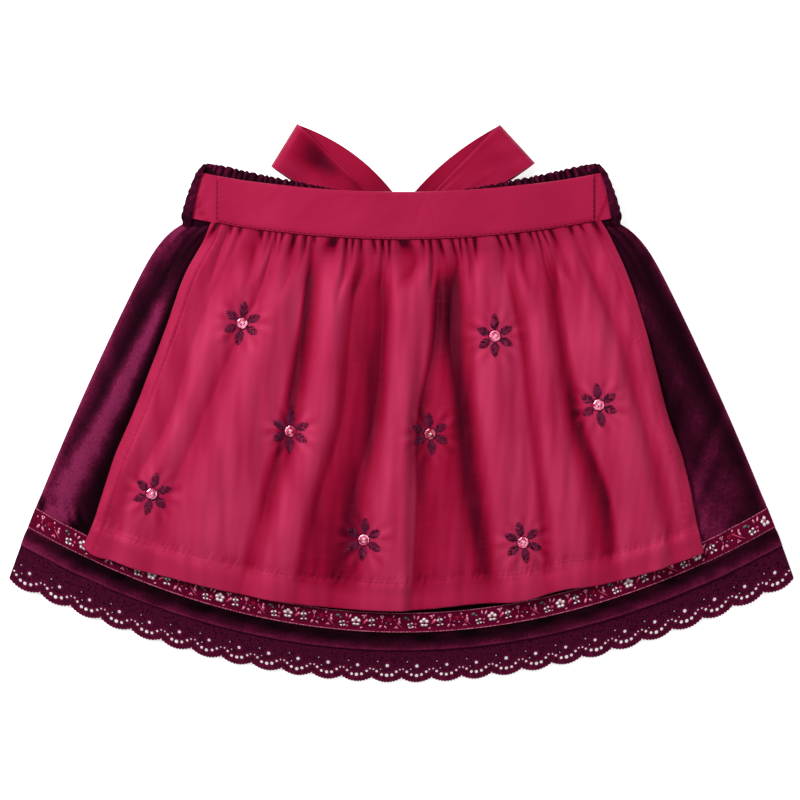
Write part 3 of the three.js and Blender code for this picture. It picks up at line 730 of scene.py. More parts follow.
def half_width(side):
    v = way_down(side)
    bulge = 11.5 * (1 - np.exp(-np.maximum(0, v) / 0.04)) * (1 - np.abs(v) ** 2.2)
    return lerp(SEAM_HALF, HEM_HALF, v) + bulge


def seam_line(x):
    return lerp(SEAM_CENTRE, SEAM_SIDE, (x / SEAM_HALF) ** 2)


def rise(x, y, shorter):
    """Distance of a place above the velvet hem, along the panel's own rows."""
    above = np.zeros_like(x)
    for _ in range(ROW_ROUNDS):
        above = y - lerp(HEM_CENTRE + shorter, HEM_SIDE, (x / half_width(HEM_SIDE + above)) ** 2)
    return above


def band_top(x):
    return 126 + 11.5 * (np.minimum(119, np.abs(x)) / 119) ** 2


def band_bottom(x):
    return 97.2 + 13.5 * (np.minimum(127, np.abs(x)) / 127) ** 2


def casing_side(y):
    t = (144 - y) / 40
    return 116.5 + 21 * t - 7.5 * t * t


# %% Heights of what lies behind
def waist_bed(x):
    bow = 4.0 * (1 - smooth(66, 96, np.abs(x)))
    belt = (BELT_LOOP + SEAM) * smooth(98, 115, np.abs(x))
    return bow + belt + TAFFETA + LIE


def tie_low(x):
    return waist_bed(x) - TAFFETA - LIE - 1.4 * (1 - smooth(KNOT_HALF, 30, np.abs(x)))


def bed(x, y):
    """What the back panel lies on: ties and bow at the waist, tails in the middle, ribbon at the hem."""
    waist = waist_bed(x) * (1 - smooth(1, 16, seam_line(x) - y))
    tails = (TAFFETA + SEAM + 0.05) * (1 - smooth(54, 70, np.abs(x))) * smooth(-128, -110, y)
    above = rise(x, y, BACK_SHORTER)
    ribbon = (RIBBON + SEAM + 0.1) * smooth(4.5, 8.5, above) * (1 - smooth(25, 31, above))
    return np.maximum(np.maximum(waist, tails), ribbon)


def fade(x, y):
    return np.exp(-np.maximum(0, seam_line(x) - y) / 22)


def grow(x, y):
    return smooth(10, 80, seam_line(x) - y) * smooth(5, 45, rise(x, y, BACK_SHORTER))


def seam_ease(u):
    return 1 - smooth(0.9, 1, np.abs(u))


def back_low(x, y, u):
    gathers = BACK_GATHER * fade(x, y) * wave(PANEL_GATHERS, (u + 1) / 2)
    hump = np.maximum(0, np.sin(TAU * 4.5 * (u + 1) / 2 + 1.3 * np.sin(5 * u) + 0.6))
    return bed(x, y) + seam_ease(u) * (gathers + BACK_HUMP * grow(x, y) * hump)


def back_envelope(x, y, ease):
    return bed(x, y) + VELVET + ease * (BACK_GATHER * fade(x, y) + BACK_HUMP * grow(x, y))


def lace_back_low(x, y):
    past = np.maximum(0, -2 - rise(x, y, BACK_SHORTER))
    return (VELVET + SEAM) * np.maximum(0, 1 - past / (LACE_DROP - 2))


def lace_front_low(x, y):
    over = lace_back_low(x, y) + LACE_WAVE + LACE + LIE
    return over * lerp(0.6, 1, smooth(-28, -22.5, rise(x, y, BACK_SHORTER)))


# %% Heights of the front panel
RIDGE_SIZES = ("across", "to_across", "down", "to_down", "width", "height")
SIDE_RIDGES = [dict(zip(RIDGE_SIZES, row)) for row in (
    (-0.835, -0.985, 0.06, 1.0, 0.045, 4.2), (-0.93, -0.93, 0.3, 0.75, 0.03, 1.4),
    (-0.79, -0.86, 0.5, 1.0, 0.04, 1.6), (0.85, 0.98, 0.06, 0.95, 0.045, 4.0),
    (0.93, 0.9, 0.25, 0.7, 0.03, 1.2), (0.8, 0.86, 0.55, 1.0, 0.04, 1.6))]


def side_ridges(u, v):
    height = 0.0
    for ridge in SIDE_RIDGES:
        t = (v - ridge["down"]) / (ridge["to_down"] - ridge["down"])
        offset = (u - lerp(ridge["across"], ridge["to_across"], t)) / ridge["width"]
        ends = smooth(-0.05, 0.2, t) * (1 - smooth(0.75, 1.1, t))
        height = np.maximum(height, ridge["height"] * ends * np.exp(-offset * offset))
    return height * seam_ease(u)


def front_gather(u):
    return lerp(0.5, 1.6, smooth(0.78, 0.88, np.abs(u)))


def hem_lift(x, y):
    return (lace_front_low(x, y) + LACE_WAVE + LACE + SEAM) * (1 - smooth(6, 16, rise(x, y, 0)))


def front_low(x, y, u, v):
    ease = seam_ease(u)
    hump = 0.5 + 0.5 * np.sin(TAU * 6 * u + 1.1 * np.sin(4 * u))
    gathers = front_gather(u) * fade(x, y) * wave(PANEL_GATHERS, (u + 1) / 2)
    folds = gathers + FRONT_HUMP * grow(x, y) * hump
    body = back_envelope(x, y, ease) + SEAM + ease * (FRONT_RISE * grow(x, y) + folds)
    return np.maximum(body, hem_lift(x, y)) + side_ridges(u, v)


def front_envelope(x, y):
    """Highest that the front panel may reach at a place."""
    down = (seam_line(x) - y) / (seam_line(x) - y + rise(x, y, 0))
    u = x / half_width(lerp(SEAM_SIDE, HEM_SIDE, down))
    body = back_envelope(x, y, 1) + SEAM + FRONT_RISE * grow(x, y)
    body = body + front_gather(u) * fade(x, y) + FRONT_HUMP * grow(x, y)
    return np.maximum(body, hem_lift(x, y)) + side_ridges(u, down) + VELVET


# %% [markdown]
# ## Velvet panels
# The skirt is two flared panels of velvet, gathered into the waist casing. A grid that follows the
# panel's own rows puts every crease, seam and hem on a line of points. The panels are modelled
# straight from height functions: soft ridges beside the apron, gathers that fade below the casing,
# a hem that is turned up and so stands a little fuller than the single cloth above it.

# %% Grid of a velvet panel
PANEL_ROWS = 84
HEM_ROWS = 22
PANEL_COLUMNS = 224
CUT_WAIST, CUT_HEM = 400, 470


def panel_grid(shorter):
    """Across (-1 to 1), the row's side and centre heights and its distance above the hem."""
    upper = np.concatenate([RIM_STEPS[:4] / 214, np.linspace(0.011, 1, PANEL_ROWS)])
    zone_side, zone_centre = HEM_SIDE + RIBBON_ZONE, HEM_CENTRE + shorter + RIBBON_ZONE
    lower = np.concatenate([np.linspace(RIBBON_ZONE, 2.6, HEM_ROWS)[1:], RIM_STEPS[:4][::-1]])
    side = np.concatenate([lerp(SEAM_SIDE, zone_side, upper), HEM_SIDE + lower])
    centre = np.concatenate([lerp(SEAM_CENTRE, zone_centre, upper), HEM_CENTRE + shorter + lower])
    u = edged(-1, 1, PANEL_COLUMNS, unit=1 / 190)
    return u[None, :], side[:, None], centre[:, None]


def panel_place(u, side, centre):
    x = u * half_width(side)
    y = centre + (side - centre) * u * u
    return x, y


def panel_lay(u, side, centre, pile_and_light):
    """Places in the flat cut: the panel's width before gathering and the way down, then its painted light."""
    flare = lerp(CUT_WAIST, CUT_HEM, way_down(side))
    return stack(u * flare / 2, -(centre + side) / 2, pile_and_light)


# %% [markdown]
# Beside the apron the velvet shows its own life: uneven creases that run down from the gathers, and
# puckers above the ribbon's stitching.

# %% Fine creases of the front panel
def front_detail(x, y, u, v):
    beside = smooth(0.7, 0.8, np.abs(u)) * seam_ease(u)
    uneven = 0.55 * crumple(x - 0.42 * y * np.sign(x), y, 15, 11, tall=4.0) * smooth(0.04, 0.2, v)
    pulled = 0.7 * np.abs(np.sin(TAU * 17 * u + 2.0 * np.sin(9 * u))) * np.exp(-v / 0.13)
    above = rise(x, y, 0)
    puckers = 0.22 * crumple(x, y, 5, 5, tall=2.2) * bump(RIBBON_HIGH + 2, 3.2, above)
    turned_hem = 0.9 * np.sin(math.pi * np.clip(above / RIBBON_LOW, 0, 1))
    return beside * (uneven + pulled) + puckers + turned_hem


# %% [markdown]
# Left of the apron the velvet is painted black in the valley beside the apron's edge, lighter on
# the ridge and lightest on the round outer edge, as painted sheen. Right of it the painted light is
# more even. Just below the ribbon the turned hem is painted dark, with a painted highlight where it
# rolls over its edge. Random streaks and mottles of the pile run over all of it.

# %% Painted light and shade of the front
APRON_DOWN = [0, 0.05, 0.15, 0.34, 0.6, 0.72, 0.93, 1]
APRON_LEFT = [-113.7, -117.9, -128.6, -142.0, -161.5, -171.5, -184.6, -190.9]
APRON_RIGHT = [119.1, 125.1, 134.2, 146.5, 160.2, 168.4, 177.4, 180.9]
APRON_TOP, APRON_TALL = 108, 194
TALLEST_RIDGE = 4.2


def apron_sides(down):
    return through(APRON_DOWN, APRON_LEFT, down), through(APRON_DOWN, APRON_RIGHT, down)


def front_pile_and_light(x, y, u, v, above, from_side):
    left_side, right_side = apron_sides((APRON_TOP - y) / APRON_TALL)
    left_gap, right_gap = left_side - x, x - right_side
    # Painted light and shade: left of the apron painted black beside its edge, lighter on the ridges and
    # lower down; right of it dimmer, and dark up to the apron's edge.
    ridge = side_ridges(u, v) / TALLEST_RIDGE
    low = smooth(0.5, 0.8, v)
    left = 0.04 + 1.1 * ridge * smooth(0, 10, left_gap) + 0.6 * low * smooth(5, 30, left_gap)
    left = np.maximum(left, 0.55 * smooth(8, 20, left_gap) * (1 - smooth(0.08, 0.2, v)))
    right = 0.13 + 0.3 * ridge + 0.52 * low * (1 - smooth(0, 46, right_gap))
    body = np.where(u < 0, left, right * smooth(-6, 1, right_gap))
    # A painted sheen along the round outer edges.
    rim = np.where(u < 0, 1.0, 0.85) * np.exp(-from_side / np.where(u < 0, 6.5, 3.0))
    leaning = x - 0.42 * y * np.sign(x)
    streaks = 0.05 * crumple(leaning, y, 15, 14, tall=6.0) * smooth(0.1, 0.5, body + rim)
    mottled = 0.03 * crumple(x, y, 6, 24, tall=1.5) * smooth(0.1, 0.4, body)
    # Painted shade and light in puckers above the ribbon, and painted light on the pleats drawn in under the
    # waist.
    near_ribbon = bump(RIBBON_HIGH + 4, 8, above) * smooth(0, 12, left_gap)
    puckers = 0.2 * crumple(x + 0.5 * above, y, 6, 15, tall=2.2) * near_ribbon
    pleats = np.abs(np.sin(TAU * 15 * u + 2.0 * np.sin(9 * u)))
    pleat_light = 0.5 * pleats * np.exp(-v / 0.09) * smooth(0.7, 0.8, np.abs(u))
    body = np.maximum(body, rim) + streaks + mottled + puckers + pleat_light
    # The hem below the ribbon: painted dark under the ribbon, a painted highlight where it rolls over its
    # edge, and painted lighter towards both ends.
    strip = 0.08 + 0.46 * (1 - smooth(2.0, 8.0, above)) + 0.04 * crumple(x, y, 18, 16, tall=0.4)
    strip = strip + 0.4 * bump(0.4, 1.0, above)
    strip = strip + 0.3 * smooth(190, 226, -x) + 0.1 * smooth(60, 200, x)
    return np.clip(np.where(above < RIBBON_LOW, strip, body), 0.0, 1.0)


# %% Front panel
def velvet_front():
    u, side, centre = panel_grid(0)
    x, y = panel_place(u, side, centre)
    v = way_down(side)
    low = front_low(x, y, u, v) + front_detail(x, y, u, v)
    from_side = (1 - np.abs(u)) * half_width(side)
    thick = VELVET * (0.2 + 0.8 * np.minimum(rounded(from_side, 3.0), rounded(rise(x, y, 0), 2.0)))
    under, over = stack(x, y, low), stack(x, y, low + thick)
    pile_and_light = front_pile_and_light(x, y, u, v, rise(x, y, 0), from_side)
    return cloth("velvet_front", under, over, panel_lay(u, side, centre, pile_and_light), VELVET_CLOTH)


skirt_front = velvet_front()


# %% Back panel
def velvet_back():
    u, side, centre = panel_grid(BACK_SHORTER)
    x, y = panel_place(u, side, centre)
    low = back_low(x, y, u)
    above = rise(x, y, BACK_SHORTER)
    from_side = (1 - np.abs(u)) * half_width(side)
    rim = np.minimum(rounded(from_side, 2.4), rounded(above, 2.0))
    under, over = stack(x, y, low + VELVET * 0.5 * (1 - rim)), stack(x, y, low + VELVET * (0.6 + 0.4 * rim))
    # Painted light on the folds' crests and a painted sheen along the side edges, with random mottles.
    folds = (low - bed(x, y)) / 3
    pile_and_light = 0.22 + 0.35 * folds + 0.5 * np.exp(-from_side / 3) + 0.08 * crumple(x, y, 14, 17, tall=4.0)
    return cloth("velvet_back", under, over, panel_lay(u, side, centre, np.clip(pile_and_light, 0.05, 1)), VELVET_CLOTH)


skirt_back = velvet_back()

# %% [markdown]
# ## Lay things on cloth
# Ribbon floats, stitches, embroidery and sequins all sit on a cloth that is already curved. A ray
# dropped from above finds the cloth's height at any place, so each small thing can be laid in plan
# and then lowered to its cloth.

# %% Find the cloth's height
def surface_of(piece):
    points = [v.co for v in piece.data.vertices]
    faces = [tuple(p.vertices) for p in piece.data.polygons]
    return BVHTree.FromPolygons(points, faces)


def heights(tree, x, y, missing=0.0):
    """Heights in millimetres of a cloth at many places."""
    shape = np.shape(x)
    found = []
    down = Vector((0, 0, -1))
    for px, py in zip(np.ravel(x) * MM, np.ravel(y) * MM):
        hit = tree.ray_cast(Vector((px, py, 0.2)), down)[0]
        found.append(missing if hit is None else hit.z / MM)
    return np.array(found).reshape(shape)


# %% [markdown]
# ## Woven ribbon
# A folk ribbon 12 mm wide is sewn round the hem, above its edge. Its ground lies on the velvet's own
# points, moved out. The flowers are floats of white, pink and grey-green yarn that repeat every
# 42 mm. They are charted as short petals and stems in the ribbon's own millimetres.

# %% Ribbon ground
RIBBON_COLUMNS = 330
RIBBON_HALF, RIBBON_LAY_HALF = 225, 226


def ribbon_strip(name, shorter, low_of, thick):
    u = edged(-1, 1, RIBBON_COLUMNS, unit=1 / RIBBON_HALF)[None, :]
    above = edged(RIBBON_LOW, RIBBON_HIGH, 9, unit=0.35)[:, None]
    side, centre = HEM_SIDE + above, HEM_CENTRE + shorter + above
    x, y = panel_place(u, side, centre)
    low = low_of(x, y, u, side)
    from_edge = np.minimum(above - RIBBON_LOW, RIBBON_HIGH - above)
    edge = np.minimum(rounded(from_edge, 0.8), rounded((1 - np.abs(u)) * RIBBON_HALF, 0.8))
    over = low + thick * (0.4 + 0.6 * edge)
    along = u * RIBBON_LAY_HALF + np.zeros_like(above)
    lay = stack(along, RIBBON_HIGH - above, np.zeros_like(along))
    return cloth(name, stack(x, y, low), stack(x, y, over), lay, RIBBON_CLOTH)


def on_front(x, y, u, side):
    v = way_down(side)
    return front_low(x, y, u, v) + front_detail(x, y, u, v) + VELVET + 0.1


ribbon_front = ribbon_strip("ribbon_front", 0, on_front, RIBBON * 0.8)
ribbon_back = ribbon_strip("ribbon_back", BACK_SHORTER, lambda x, y, u, side: np.zeros_like(x), RIBBON)

# %% [markdown]
# One repeat of the ribbon's flowers. Each entry is one float: its yarn, its middle (along, up), its
# length and width, and the way it points in degrees. Yarn bulges where it isn't tied down, so a
# float is made longer and wider than its charted size.

# %% Chart of the ribbon's repeat
REPEAT = 41.6
YARNS = {
    "white": (255, 236, 240), "pink": (250, 150, 178), "rose": (222, 76, 114),
    "red": (180, 18, 56), "grey": (98, 116, 112),
}
BLOSSOM_ANGLES = (90, 18, -54, -126, 162)
BLOSSOM_REACH = 1.8
CHART = [
    ("red", 0.0, 0.0, 1.2, 0.9, 0), ("pink", 0.2, 0.3, 0.6, 0.4, 0),
    ("pink", 4.4, 3.6, 2.0, 0.7, -12), ("pink", 5.9, 3.9, 1.3, 0.6, 60), ("pink", 4.9, 2.6, 1.2, 0.5, 80),
    ("rose", 5.7, 0.3, 3.8, 0.9, 58), ("pink", 6.5, 0.9, 1.8, 0.9, 62), ("pink", 3.1, -3.8, 1.6, 0.6, 38),
    ("white", 8.5, 0.9, 1.5, 0.9, 60), ("white", 10.5, 1.2, 1.4, 0.9, -40),
    ("grey", 9.3, 2.3, 1.4, 0.8, 80), ("white", 8.6, -2.0, 1.6, 0.8, 20),
    ("white", 10.9, -1.6, 1.5, 0.8, -50), ("grey", 9.6, -0.4, 1.2, 0.8, 90),
    ("pink", 12.8, 2.3, 0.8, 0.6, 0),
    ("pink", 15.2, 3.6, 1.2, 0.6, 50), ("pink", 16.4, 3.6, 1.2, 0.6, -50), ("pink", 15.8, 2.6, 1.2, 0.9, 90),
    ("rose", 16.0, 0.6, 2.4, 0.35, 86), ("pink", 15.0, -2.1, 2.9, 0.9, 68),
    ("pink", 17.7, -2.5, 2.4, 0.8, -52), ("grey", 18.5, -0.2, 0.9, 0.6, 0),
    ("red", 19.6, 1.9, 1.5, 0.6, 70), ("red", 20.9, 1.9, 1.5, 0.6, -70), ("red", 20.2, 0.8, 1.4, 0.6, 0),
    ("white", 21.2, -0.9, 0.6, 0.5, 0),
    ("pink", 22.9, 3.9, 1.4, 0.7, 70), ("rose", 25.3, -0.6, 8.4, 0.4, -42), ("pink", 26.3, 2.2, 1.8, 0.8, 80),
    ("pink", 26.4, 0.5, 2.6, 0.9, 104), ("rose", 23.6, 1.6, 0.8, 0.6, 0),
    ("pink", 24.1, -3.1, 1.3, 0.5, 40), ("pink", 25.1, -3.1, 1.3, 0.5, -40),
    ("rose", 24.6, -2.3, 1.2, 0.5, 0),
    ("grey", 30.3, 2.9, 2.2, 1.0, 10), ("grey", 32.1, 1.8, 1.3, 0.7, 60),
    ("white", 32.0, -1.0, 1.5, 0.8, 60), ("white", 34.0, -0.5, 1.4, 0.8, -40),
    ("white", 32.5, -3.0, 1.5, 0.8, -30), ("white", 34.5, -2.7, 1.4, 0.8, 40),
    ("grey", 33.2, -1.8, 0.9, 0.7, 0),
    ("pink", 35.6, 3.4, 2.4, 0.6, 96), ("pink", 38.0, 3.0, 2.6, 0.7, 62), ("rose", 36.5, -0.9, 1.5, 1.1, 0),
    ("pink", 36.2, -2.9, 1.3, 0.6, 90),
]
for angle in BLOSSOM_ANGLES:
    turn = math.radians(angle)
    CHART.append(("white", BLOSSOM_REACH * math.cos(turn), BLOSSOM_REACH * math.sin(turn), 1.9, 1.45, angle))
print("floats in a repeat:", len(CHART))

# %% [markdown]
# A float is a small lens: a ring of eight points round its middle and a crown a little above, closed
# underneath. All floats of a ribbon become one mesh with a colour kept at each point.

# %% Weave the flowers
FLOAT_SIDES = 8
FLOAT_LONGER, FLOAT_WIDER = 1.34, 1.75
FLOAT_RISE, FLOAT_RISE_BACK = 0.22, -0.16


def ribbon_flowers(name, ribbon, shorter, first, flip):
    tree = surface_of(ribbon)
    ring = np.arange(FLOAT_SIDES) * TAU / FLOAT_SIDES
    plans, tints = [], []
    count = int(2 * HEM_HALF / REPEAT) + 2
    for repeat in range(count):
        for yarn, at, up, length, width, angle in CHART:
            turn = math.radians(angle)
            long = np.cos(ring) * (length * FLOAT_LONGER) / 2
            wide = np.sin(ring) * (width * FLOAT_WIDER) / 2
            along = first + repeat * REPEAT + at + long * math.cos(turn) - wide * math.sin(turn)
            across = up + long * math.sin(turn) + wide * math.cos(turn)
            if np.abs(along).max() > HEM_HALF - 4:
                continue
            plans.append(np.stack([along, across], -1))
            tints.append(colour(*YARNS[yarn]))
    plans = np.array(plans)
    middle = (RIBBON_LOW + RIBBON_HIGH) / 2
    u = plans[..., 0] / RIBBON_LAY_HALF
    above = middle + plans[..., 1]
    x, y = panel_place(u, HEM_SIDE + above, HEM_CENTRE + shorter + above)
    middle_x, middle_y = x.mean(1), y.mean(1)
    if flip:
        ground, crown = np.zeros(len(x)), FLOAT_RISE_BACK
    else:
        ground, crown = heights(tree, middle_x, middle_y), FLOAT_RISE
    z = ground[:, None] + np.zeros_like(x)
    base = np.stack([x, y, z], -1)
    top = np.stack([middle_x, middle_y, ground + crown], -1)[:, None]
    foot = np.stack([middle_x, middle_y, ground - crown * 0.6], -1)[:, None]
    points = np.concatenate([base, top, foot], 1)
    faces = []
    for k in range(FLOAT_SIDES):
        after = (k + 1) % FLOAT_SIDES
        faces += [(k, after, FLOAT_SIDES), (after, k, FLOAT_SIDES + 1)]
    if flip:
        faces = [face[::-1] for face in faces]
    size = FLOAT_SIDES + 2
    every = (np.array(faces)[None] + np.arange(len(points))[:, None, None] * size).reshape(-1, 3)
    flowers = new_piece(name, points.reshape(-1, 3), every, FLOAT_CLOTH)
    keep_tint(flowers, "POINT", tints, size)
    lay = np.concatenate([plans, plans.mean(1)[:, None], plans.mean(1)[:, None]], 1)
    keep_lay(flowers, np.concatenate([lay, np.zeros(lay.shape[:2] + (1,))], -1))
    print(name, len(points), "floats")
    return flowers


FIRST_BLOSSOM = -235.7
flowers_front = ribbon_flowers("ribbon_flowers_front", ribbon_front, 0, FIRST_BLOSSOM, False)
flowers_back = ribbon_flowers("ribbon_flowers_back", ribbon_back, BACK_SHORTER, FIRST_BLOSSOM, True)

# %% [markdown]
# ## Eyelet lace
# The hem is finished with cotton lace: 26 scallops, each with an arc of seven eyelets, a larger one
# above them and four pin holes. Light falls through the holes, so they are cut, not painted. Each
# scallop is drawn flat, as an outline with holes, and a constrained triangulation fills what is
# left. Then the flat drawing is laid on the lace's curved surface. Small raised rims bind the
# eyelets.

# %% One scallop drawn flat
PITCH = 2 * HEM_HALF / SCALLOPS
EYELETS = [{"at": at, "up": up, "radius": radius} for at, up, radius in (
    (-7.7, 5.9, 0.45), (-5.7, 5.3, 0.7), (-3.0, 4.3, 0.85), (0.0, 3.8, 0.98),
    (3.0, 4.3, 0.85), (5.7, 5.3, 0.7), (7.7, 5.9, 0.45), (0.4, 9.7, 0.95))]
PIN_RADIUS = 0.34
PIN_HOLES = [{"at": at, "up": up, "radius": PIN_RADIUS} for at, up in (
    (-5.2, 12.0), (-2.6, 14.2), (3.4, 14.6), (-3.4, 7.6))]
HOLE_SIDES = 12
GROUND_STEP = 1.7
PICOTS = 10
PICOT_DEPTH = 0.5
BOUND_RADIUS = 0.4
BINDING = 0.42


def lace_edge(across):
    """Drop of the scalloped edge below its cusps' line, with tiny picots."""
    scallop = SCALLOP_DEPTH * np.abs(np.sin(math.pi * SCALLOPS * across)) ** 0.8
    return scallop + PICOT_DEPTH * np.abs(np.sin(math.pi * SCALLOPS * PICOTS * across))


def scallop_drawing(number, drop_at, seed):
    """Points (along, down), triangles, holes and lower edge of one scallop."""
    draw = np.random.default_rng(seed)
    left = number / SCALLOPS
    middle = (number + 0.5) / SCALLOPS
    edge_count = PICOTS * 4
    across = left + np.arange(edge_count + 1) / edge_count / SCALLOPS
    along = (across - middle) * 2 * HEM_HALF
    bottom = drop_at(across) - SCALLOP_DEPTH + lace_edge(across)
    side = np.linspace(0, 1, 13)[1:-1]
    outline = list(zip(along, bottom))
    outline += [(along[-1], lerp(bottom[-1], -LACE_TUCK, t)) for t in side]
    outline += [(a, -LACE_TUCK) for a in along[::-4]]
    outline += [(along[0], lerp(-LACE_TUCK, bottom[0], t)) for t in side]
    points = list(outline)
    loops = [list(range(len(outline)))]
    holes = []
    for hole in EYELETS + PIN_HOLES:
        at = hole["at"] + draw.uniform(-0.14, 0.14)
        edge = float(np.interp(at, along, bottom))
        flat_edge = float(drop_at(np.array(middle)))
        base = edge if hole["up"] < 6 else flat_edge
        down = base - hole["up"] + draw.uniform(-0.2, 0.2)
        radius = hole["radius"] * draw.uniform(0.88, 1.08)
        holes.append((at, down, radius))
        bound = radius > BOUND_RADIUS
        sides = HOLE_SIDES if bound else HOLE_SIDES // 2
        turns = np.arange(sides) * TAU / sides
        loops.append(list(range(len(points), len(points) + len(turns))))
        for reach in (radius, radius + BINDING) if bound else (radius,):
            points += [(at + reach * math.cos(t), down + reach * math.sin(t)) for t in turns]
    for a in np.arange(along[0] + GROUND_STEP, along[-1] - GROUND_STEP * 0.6, GROUND_STEP):
        deepest = float(np.interp(a, along, bottom))
        for d in np.arange(-LACE_TUCK + GROUND_STEP, deepest - GROUND_STEP * 0.7, GROUND_STEP):
            if all(math.hypot(a - at, d - down) > radius + 0.9 for at, down, radius in holes):
                points.append((a, d))
    edges = [(loop[k], loop[(k + 1) % len(loop)]) for loop in loops for k in range(len(loop))]
    made, _, faces, first, _, _ = delaunay_2d_cdt([Vector(p) for p in points], edges, [], 0, 1e-5)
    place = {old: new for new, olds in enumerate(first) for old in olds}
    made = np.array([tuple(p) for p in made])
    for old, new in place.items():
        made[new] = points[old]
    faces = np.array(faces)
    centres = made[faces].mean(1)
    inside = np.ones(len(faces), bool)
    for at, down, radius in holes:
        inside &= np.hypot(centres[:, 0] - at, centres[:, 1] - down) > radius * 0.985
    inside &= centres[:, 1] < np.interp(centres[:, 0], along, bottom)
    return made, faces[inside], holes, along, bottom


# %% Join the scallops into one lace
def lace_piece(name, shorter, low_of, seed, side_lift=0.0, cut=0.0):
    def drop_at(across):
        return lerp(LACE_DROP, LACE_DROP_SIDE, (2 * across - 1) ** 4) - cut

    all_points, all_faces, known = [], [], {}
    lays = []
    rims = []
    for number in range(SCALLOPS):
        points, faces, holes, along, bottom = scallop_drawing(number, drop_at, seed + number)
        middle = (number + 0.5) / SCALLOPS
        rim = np.zeros(len(points))
        for at, down, radius in holes:
            if radius > BOUND_RADIUS:
                away = np.hypot(points[:, 0] - at, points[:, 1] - down)
                rim = np.maximum(rim, bump(radius + 0.3, 0.3, away))
        to_edge = np.interp(points[:, 0], along, bottom) - points[:, 1]
        border = np.maximum(rim, 1 - smooth(0.7, 1.5, to_edge))
        number_of = []
        for k, (a, d) in enumerate(points):
            across = middle + a / (2 * HEM_HALF)
            key = (round(across * 1e6), round(d * 1e4))
            if key not in known:
                known[key] = len(all_points)
                all_points.append((across, d))
                lays.append((a + number * PITCH, d, border[k]))
                rims.append(max(rim[k], 0.8 * border[k]) if to_edge[k] > 0.05 else 0.0)
            number_of.append(known[key])
        all_faces += [tuple(number_of[i] for i in face) for face in faces]
    flat = np.array(all_points)
    across, down = flat[:, 0], flat[:, 1]
    u = 2 * across - 1
    x, y = panel_place(u, HEM_SIDE + side_lift - down, HEM_CENTRE + shorter - down)
    share = np.clip((down + LACE_TUCK) / (LACE_DROP + LACE_TUCK), 0, 1)
    ripple = LACE_WAVE * wave(SCALLOPS / 2, across) * share + 0.12 * crumple(x, y, 7, seed) * share
    low = low_of(x, y) + np.maximum(0, ripple)
    over = low + LACE * 0.55 + 0.3 * np.array(rims)
    under = low + 0.1
    count = len(flat)
    points = np.concatenate([np.stack([x, y, over], -1), np.stack([x, y, under], -1)])
    faces = np.array(all_faces)
    first, second, third = (points[faces[:, k], :2] for k in range(3))
    turning = np.cross(second - first, third - first)
    faces[turning < 0] = faces[turning < 0][:, ::-1]
    sides = {}
    for a, b, c in faces.tolist():
        for start, end in ((a, b), (b, c), (c, a)):
            sides[(start, end)] = True
    open_sides = [(s, e) for s, e in sides if (e, s) not in sides]
    walls = [(e, s, s + count, e + count) for s, e in open_sides]
    every = faces.tolist() + (faces[:, ::-1] + count).tolist() + walls
    piece = new_piece(name, points, every, LACE_CLOTH, 50)
    keep_lay(piece, np.array(lays + lays))
    print(name, 2 * len(faces) + 2 * len(walls), "triangles,", len(EYELETS) * SCALLOPS, "eyelets")
    return piece


lace_back = lace_piece("eyelet_lace_back", BACK_SHORTER, lace_back_low, 300, side_lift=7.0, cut=4.5)
lace_front = lace_piece("eyelet_lace_front", 0, lace_front_low, 100)

# %% [markdown]
# ## Waist casings and belt loops
# The back casing holds elastic, so it is drawn into tight little folds and its top edge ruffles. The
# front casing is flat and almost all of it lies under the apron's band. A velvet loop at each side
# seam keeps the apron's ties in place.

# %% Casings
SEAM_OVERLAP = 1.2
RUFFLES = 62
CASING_HALF, CASING_TALL, CASING_CUT = 125, 38, 34
CASING_RIM, CASING_LET_OUT = 32, 200


def casing_grid(top_line, columns, rows):
    u = edged(-1, 1, columns, unit=1 / CASING_HALF)[None, :]
    share = edged(0, 1, rows, unit=1 / CASING_TALL)[:, None]
    side = lerp(SEAM_SIDE + SEAM, top_line(1.0), share)
    bottom = lerp(SEAM_CENTRE, SEAM_SIDE, u * u) - SEAM_OVERLAP
    x = u * casing_side(side)
    y = lerp(bottom, top_line(np.abs(u)), share)
    return u + 0 * share, share + 0 * u, x, y


def casing_edge(u, share, radius):
    from_top, from_end = (1 - share) * CASING_RIM, (1 - np.abs(u)) * CASING_HALF
    return np.minimum(rounded(from_top, radius), rounded(from_end, radius))


